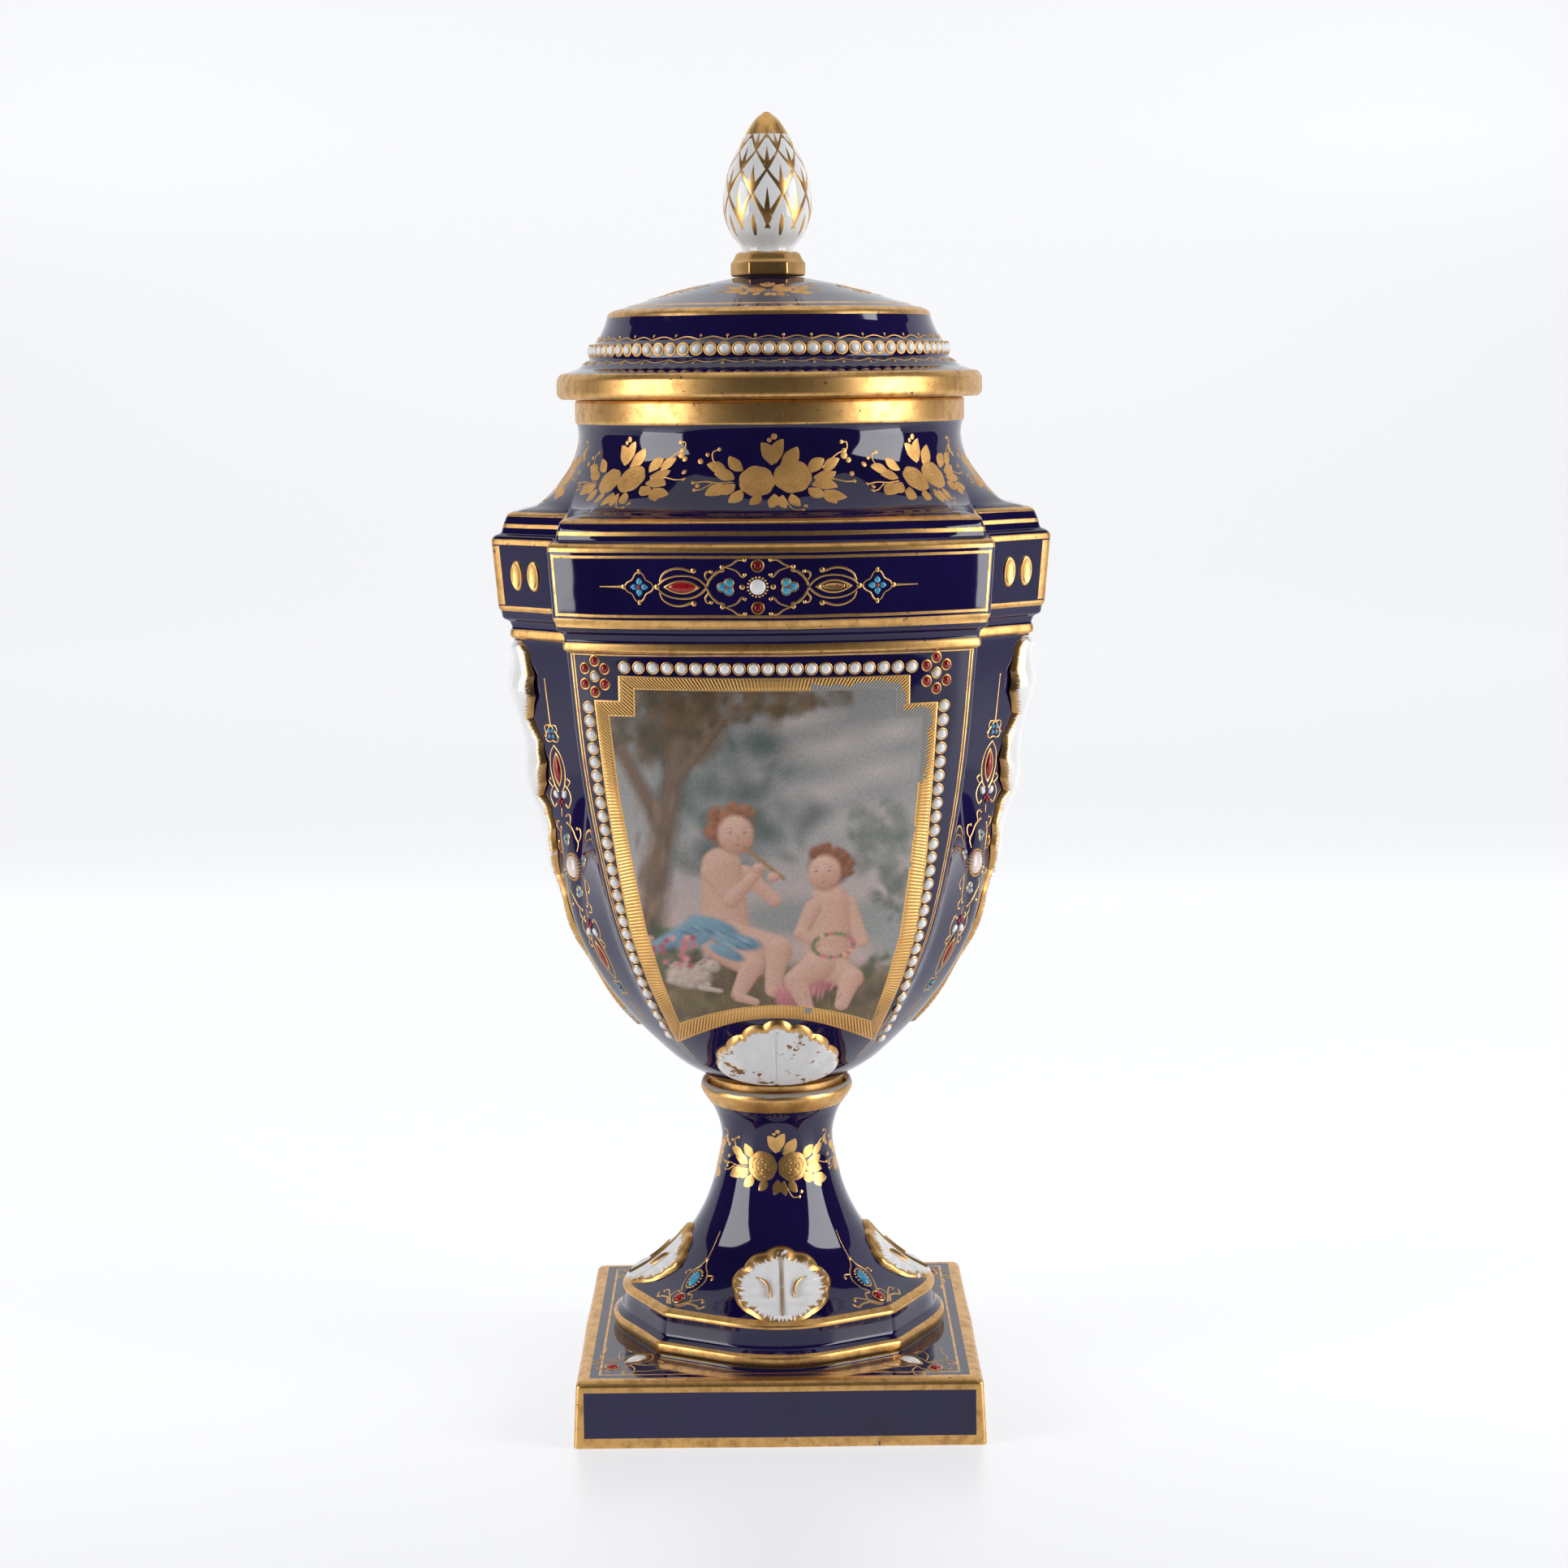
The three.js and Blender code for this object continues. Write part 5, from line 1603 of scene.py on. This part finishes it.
def seatedPiper(art, skin, skinShade, blue, blueShade):
    art.limb((-26, 158), (-40, 150), (5, 3), blue, blueShade, 0.5)
    art.limb((-9, 178), (1, 168), (3.2, 2.6), skin, skinShade)
    art.limb((-17, 180), (-16, 158), (7.6, 9.2), skin, skinShade, 0.18)
    art.limb((-14, 154), (2, 150), (7.2, 5.6), skin, skinShade, 0.18)
    art.limb((2, 150), (0, 135), (4.8, 3.0), skin, skinShade, 0.2)
    art.limb((0, 134), (6, 132), (2.4, 1.7), skin, skinShade)
    art.limb((-18, 151), (-7, 144), (6.4, 5), skin, skinShade, 0.2)
    art.limb((-7, 144), (-12, 133), (4.4, 2.8), skin, skinShade, 0.2)
    art.limb((-12, 132), (-6, 130), (2.2, 1.6), skin, skinShade)
    for spot, size, turn in (((-20, 158), (11, 4.2), -18), ((-12, 153), (10, 3.4), -10),
                             ((-27, 153), (8, 3), 20),
                             ((-16, 149), (8, 2.6), -24)):
        art.form(spot, size, blue, blueShade, turn, 0.35)
    for k in range(14):
        spot = (-30 + k * 1.7, 157 - k * 0.4 + art.dice.uniform(-2, 2))
        art.dab(art.dice.choice([tone(184, 214, 224), tone(58, 98, 128)]), spot, (3.4, 0.6), -24, 0.9, 0.6)
    art.limb((-21, 178), (-14, 168), (3.6, 3.0), skin, skinShade)
    art.limb((-14, 168), (-5, 178), (3.0, 2.2), skin, skinShade)
    childHead(art, (-13, 192), 8.2, 1, skin, skinShade, tone(182, 132, 96), tone(104, 64, 44))
    art.limb((-9, 187), (4, 176), (0.7, 0.9), tone(196, 160, 104), tone(110, 78, 44), 0.5)
    art.form((-4.4, 179.6), (2.4, 2.0), skin, skinShade)
    art.form((0.6, 176.4), (2.2, 1.9), skin, skinShade)


def wreathMaker(art, skin, skinShade, pink, pinkShade):
    for spot, size, turn in (((13, 136), (10, 5), 10), ((24, 139), (9, 5), -20), ((5, 131), (5, 7), 20)):
        art.form(spot, size, pink, pinkShade, turn, 0.35)
    for k in range(16):
        spot = (3 + k * 1.6, 136 + art.dice.uniform(-4, 3))
        art.dab(art.dice.choice([tone(232, 184, 182), tone(122, 56, 62)]), spot, (0.7, 3.2),
                20 - k * 4, 0.9, 0.55)
    art.limb((26, 166), (31, 152), (3.4, 2.6), skin, skinShade)
    art.limb((20, 167), (19, 148), (7.2, 8.6), skin, skinShade, 0.18)
    art.limb((17, 145), (27, 138), (6.4, 5), skin, skinShade, 0.2)
    art.limb((27, 138), (24, 128), (4.2, 2.8), skin, skinShade, 0.2)
    art.limb((16, 144), (8, 138), (6.4, 4.8), skin, skinShade, 0.2)
    art.limb((8, 138), (12, 127), (4.2, 2.6), skin, skinShade, 0.2)
    art.limb((12, 126), (6, 124.5), (2.2, 1.6), skin, skinShade)
    art.limb((14, 165), (10, 156), (3.4, 2.8), skin, skinShade)
    art.limb((10, 156), (15, 152), (2.8, 2.0), skin, skinShade)
    childHead(art, (19, 178), 7.6, -1, skin, skinShade, tone(166, 116, 82), tone(92, 58, 42))
    for k in range(26):
        turn = math.radians(k * 360 / 26)
        spot = (21 + 7 * math.cos(turn), 151 + 4.4 * math.sin(turn))
        art.dab(art.dice.choice([tone(206, 120, 124), tone(228, 196, 150), tone(98, 122, 78),
                                 tone(118, 140, 88)]), spot,
                (1.3, 1.1), 0, 0.7, 0.9)


def restingLamb(art):
    wool, shade = tone(222, 214, 202), tone(140, 128, 116)
    art.form((-29, 139), (9, 5.4), wool, shade, -4, 0.25)
    for k in range(34):
        spot = (-29 + art.dice.uniform(-8, 7), 139.5 + art.dice.uniform(-4, 4.4))
        art.form(spot, (1.7, 1.4), wool, shade, 0, 0.8)
    art.form((-21, 143.5), (3.6, 2.8), wool, shade, -22, 0.25)
    art.limb((-23.5, 145.4), (-26.2, 144.2), (1.2, 0.6), tone(200, 186, 172), shade, 0.4)
    art.dab(tone(70, 54, 46), (-20.4, 144.2), (0.5, 0.4), 0, 0.6, 0.9)
    art.limb((-25, 135), (-18, 134), (1.4, 1.0), wool, shade, 0.4)


def vista(x, z):  # the back panel: the same country without figures
    art = Canvas(x, z, 21)
    art.lay(np.ones(len(x)), tone(140, 150, 150))
    art.lay((232 - z) / 70, tone(184, 190, 188))
    for spot, size in (((-14, 212), (22, 7)), ((10, 204), (20, 6)), ((-26, 200), (14, 5))):
        art.dab(tone(200, 202, 198), spot, size, 6, 1.0, 0.7)
    art.foliage([tone(134, 148, 144), tone(120, 136, 130)], (0, 166), (46, 8), 120, 7, 0.45)
    art.foliage([tone(92, 84, 62), tone(112, 98, 72), tone(76, 80, 62)], (28, 206), (18, 22), 170, 5, 0.6)
    art.limb((30, 140), (27, 190), (3, 2), tone(136, 118, 98), tone(74, 62, 50), 0.6)
    art.lay((152 + 3 * np.sin(x / 11) - z) / 7, tone(112, 104, 66))
    art.foliage([tone(112, 104, 62), tone(96, 88, 54), tone(128, 120, 76), tone(104, 80, 52)],
                (-2, 138), (48, 13), 260,
                4.6, 0.5)
    art.foliage([tone(74, 92, 66), tone(96, 110, 76)], (-30, 154), (12, 8), 90, 3.2, 0.6)
    return art.colour * varnish


def paintedPiece(name, middle, picture):
    xs, zs = np.arange(-51, 46.6, 0.42), np.arange(120.5, 232.4, 0.42)
    gridX, gridZ = np.meshgrid(xs, zs)
    frameLine = [mix(np.array(a, float), np.array(b, float), 0.5)
                 for a, b in zip(panel["outer"], panel["inner"])]
    leftSide, rightSide = np.array(frameLine[10:16]), np.array(frameLine[8:2:-1])
    left = np.interp(gridZ, leftSide[:, 1], leftSide[:, 0])
    right = np.interp(gridZ, rightSide[:, 1], rightSide[:, 0])
    bottom = 121.9 + 9.7 * bulge(np.clip((gridX + 29.8) / 59.4, 0, 1))
    inside = (gridX > left) & (gridX < right) & (gridZ > bottom)
    inside &= (gridZ < panel["notch"]) | ((gridX > frameLine[16][0]) & (gridX < frameLine[2][0]))
    index = np.cumsum(inside.ravel()).reshape(inside.shape) - 1
    faces = []
    whole = inside[:-1, :-1] & inside[:-1, 1:] & inside[1:, 1:] & inside[1:, :-1]
    for i, j in zip(*np.nonzero(whole)):
        faces.append((int(index[i, j]), int(index[i, j + 1]), int(index[i + 1, j + 1]), int(index[i + 1, j])))
    layer = Layer(bodySurface)
    x, z = gridX[inside], gridZ[inside]
    layer.add(middle, 0, x, z, 0.06 + 0 * x, faces, True)
    colours = picture(x, z)
    paint = Finish(name + "Glaze").place()
    picked = paint.node("ShaderNodeAttribute", {"attribute_name": "picture"})
    streak = paint.noise(1400, 4, 0.65)
    shaded = paint.node("ShaderNodeMix", {"data_type": "RGBA", "blend_type": "SOFT_LIGHT"})
    shaded.inputs[0].default_value = 0.5
    paint.tree.links.new(picked.outputs["Color"], shaded.inputs[6])
    grey = paint.node("ShaderNodeCombineColor", Red=streak, Green=streak, Blue=streak)
    paint.tree.links.new(grey.outputs[0], shaded.inputs[7])
    paint.glaze(Base_Color=paint.wire(shaded, 2), Roughness=0.16, IOR=1.5)
    made = layer.piece(name, paint.material, "body_glaze")
    attribute = made.data.color_attributes.new("picture", "FLOAT_COLOR", "POINT")
    solid = np.column_stack([colours, np.ones(len(colours))]).astype(np.float32)
    attribute.data.foreach_set("color", solid.ravel())
    return made


paintedPiece("frontPainting", 0, pastoral)
paintedPiece("backPainting", 180, vista)
print("panels painted")


def tooledGold(name, worn):  # gilding with fine tooled lines across it, rubbed away where it is worn
    gilt = Finish(name).place()
    laid = gilt.node("ShaderNodeUVMap", {"uv_map": "laid"})
    split = gilt.node("ShaderNodeSeparateXYZ", Vector=gilt.wire(laid))
    run, across = gilt.wire(split, 0), gilt.wire(split, 1)
    hatchAndGrooveShade = (run * (2 * math.pi / 1.05)).sum("SINE") * 0.5 + 0.5
    middleBand = across.within(0.1, 0.9, 0.04)
    rub = gilt.noise(150, 4, 0.6)
    # the tooled grooves are also coloured darker as painted shade in the grooves; the bump gives the real
    # tooling
    colour = gilt.blend(rub.over(0.6, 0.3) * 0.4 + hatchAndGrooveShade * middleBand * 0.6, tones["gold"], tones["goldDeep"])
    metal = 1.0
    if worn:
        ragged = across + (gilt.noise(120, 4, 0.6) - 0.5) * 1.5 + (gilt.noise(420, 3, 0.6) - 0.5) * 0.35
        right = gilt.x.over(11, 0.5)
        gone = ragged.over(0.5, 0.03) * right * gilt.z.over(202, 1)
        gone = gone.orElse(ragged.over(0.38, 0.03) * gilt.x.over(31, 0.5) * gilt.z.over(219, 1))
        gone = gone.orElse(ragged.over(0.98, 0.03) * right * gilt.z.within(176, 202, 1))
        dent = (gilt.noise(300, 3) - 0.5) * 2.4
        nick = 1 - ((gilt.x - 9.6) ** 2 + (gilt.z - 131.6) ** 2 + dent).over(1.3, 0.3)
        gone = gone.orElse(nick)
        metal = 1 - gone
        colour = gilt.blend(gone, colour, tuple(tone(133, 131, 126)))
        gilt.glaze(Metallic=metal, Roughness=metal * 0.16 + rub * 0.1 + 0.12)
    else:
        gilt.glaze(Metallic=1.0, Roughness=rub * 0.2 + 0.2)
    gilt.glaze(Base_Color=colour)
    gilt.bump(hatchAndGrooveShade * middleBand * -1 + rub * 0.2, 0.5, 0.0003)
    return gilt.material


frontFrame.piece("frontTooledFrame", tooledGold("wornTooledGold", True), "body_glaze")
backFrame.piece("backTooledFrame", tooledGold("tooledGold", False), "body_glaze")
finishKit(bodyKit, "bodyWork", "body_glaze")
print("panels gilded")

collar.data.materials.append(goldWork)

# ---- studio: a white sweep, a softbox at each side, a dim room in front
studio = {"distance": 0.9382, "eye": 0.3212, "pitch": 7.75, "roll": -0.6, "turn": 0.0, "across": -13 / 1932,
          "lens": 36 * 3720 / 1932, "sweepFront": -0.62, "sweepBack": 0.9, "sweepRadius": 0.5,
          "sweepTop": 2.6}
bpy.ops.object.camera_add(location=(
    studio["distance"] * math.sin(math.radians(studio["turn"])),
    -studio["distance"] * math.cos(math.radians(studio["turn"])), studio["eye"]))
camera = bpy.context.object
camera.rotation_mode = "QUATERNION"
camera.rotation_quaternion = (
    Quaternion((0, 0, 1), math.radians(studio["turn"]))
    @ Quaternion((1, 0, 0), math.radians(90 - studio["pitch"]))
    @ Quaternion((0, 0, 1), math.radians(studio["roll"])))
camera.data.lens, camera.data.sensor_width = studio["lens"], 36
camera.data.shift_x = -studio["across"]
camera.data.clip_start, camera.data.clip_end = 0.01, 50
bpy.context.scene.camera = camera

arc = np.radians(np.linspace(-90, 0, 17))
sweepLine = [(studio["sweepFront"], 0)]
sweepLine += [(studio["sweepBack"] + studio["sweepRadius"] * math.cos(a),
               studio["sweepRadius"] * (1 + math.sin(a))) for a in arc]
sweepLine.append((studio["sweepBack"] + studio["sweepRadius"], studio["sweepTop"]))
sweep = newPiece("sweep", [(-2.5, y, z) for y, z in sweepLine],
                 [(i, i + 1) for i in range(len(sweepLine) - 1)], [])
bpy.ops.object.mode_set(mode="EDIT")
bpy.ops.mesh.select_all(action="SELECT")
bpy.ops.mesh.extrude_region_move(TRANSFORM_OT_translate={"value": (5, 0, 0)})
bpy.ops.mesh.select_all(action="SELECT")
bpy.ops.mesh.normals_make_consistent(inside=True)
bpy.ops.object.mode_set(mode="OBJECT")
bpy.ops.object.shade_smooth()
paper = Finish("paleSweep").place()
# the sweep glows as painted light in place of a lit backdrop: dimmer on the floor, and dimmest on the floor
# in front of the pedestal as a painted shadow
low, near = 1 - paper.z.over(40, 160), 1 - paper.y.over(-120, 260)
paintedSweepLight = paper.blend(near * low, paper.blend(low, (0.97, 0.98, 1.0), (0.80, 0.81, 0.83)), (0.64, 0.65, 0.69))
paper.glaze(Base_Color=(0.32, 0.32, 0.323, 1), Roughness=0.35, Emission_Color=paintedSweepLight, Emission_Strength=0.74)
sweep.data.materials.append(paper.material)

room = bpy.context.scene.world or bpy.data.worlds.new("room")
bpy.context.scene.world = room
room.use_nodes = True
room.node_tree.nodes["Background"].inputs[0].default_value = (0.75, 0.80, 1, 1)
room.node_tree.nodes["Background"].inputs[1].default_value = 0.06
lamps = {"leftSoftbox": ((-0.95, -0.42, 0.42), (0.55, 0.85), 8.5),
         "rightSoftbox": ((0.92, -0.36, 0.42), (0.55, 0.85), 9.5),
         "topSoftbox": ((0.0, 0.05, 1.25), (1.3, 1.0), 3.4)}
for name, (spot, size, power) in lamps.items():
    bpy.ops.object.light_add(type="AREA", location=spot)
    lamp = bpy.context.object
    lamp.name = name
    lamp.data.shape, lamp.data.size, lamp.data.size_y, lamp.data.energy = "RECTANGLE", *size, power
    lamp.rotation_euler = Vector((-spot[0], -spot[1], 0.2 - spot[2])).to_track_quat("-Z", "Y").to_euler()
bpy.context.scene.view_settings.view_transform = "Standard"
print("studio set")
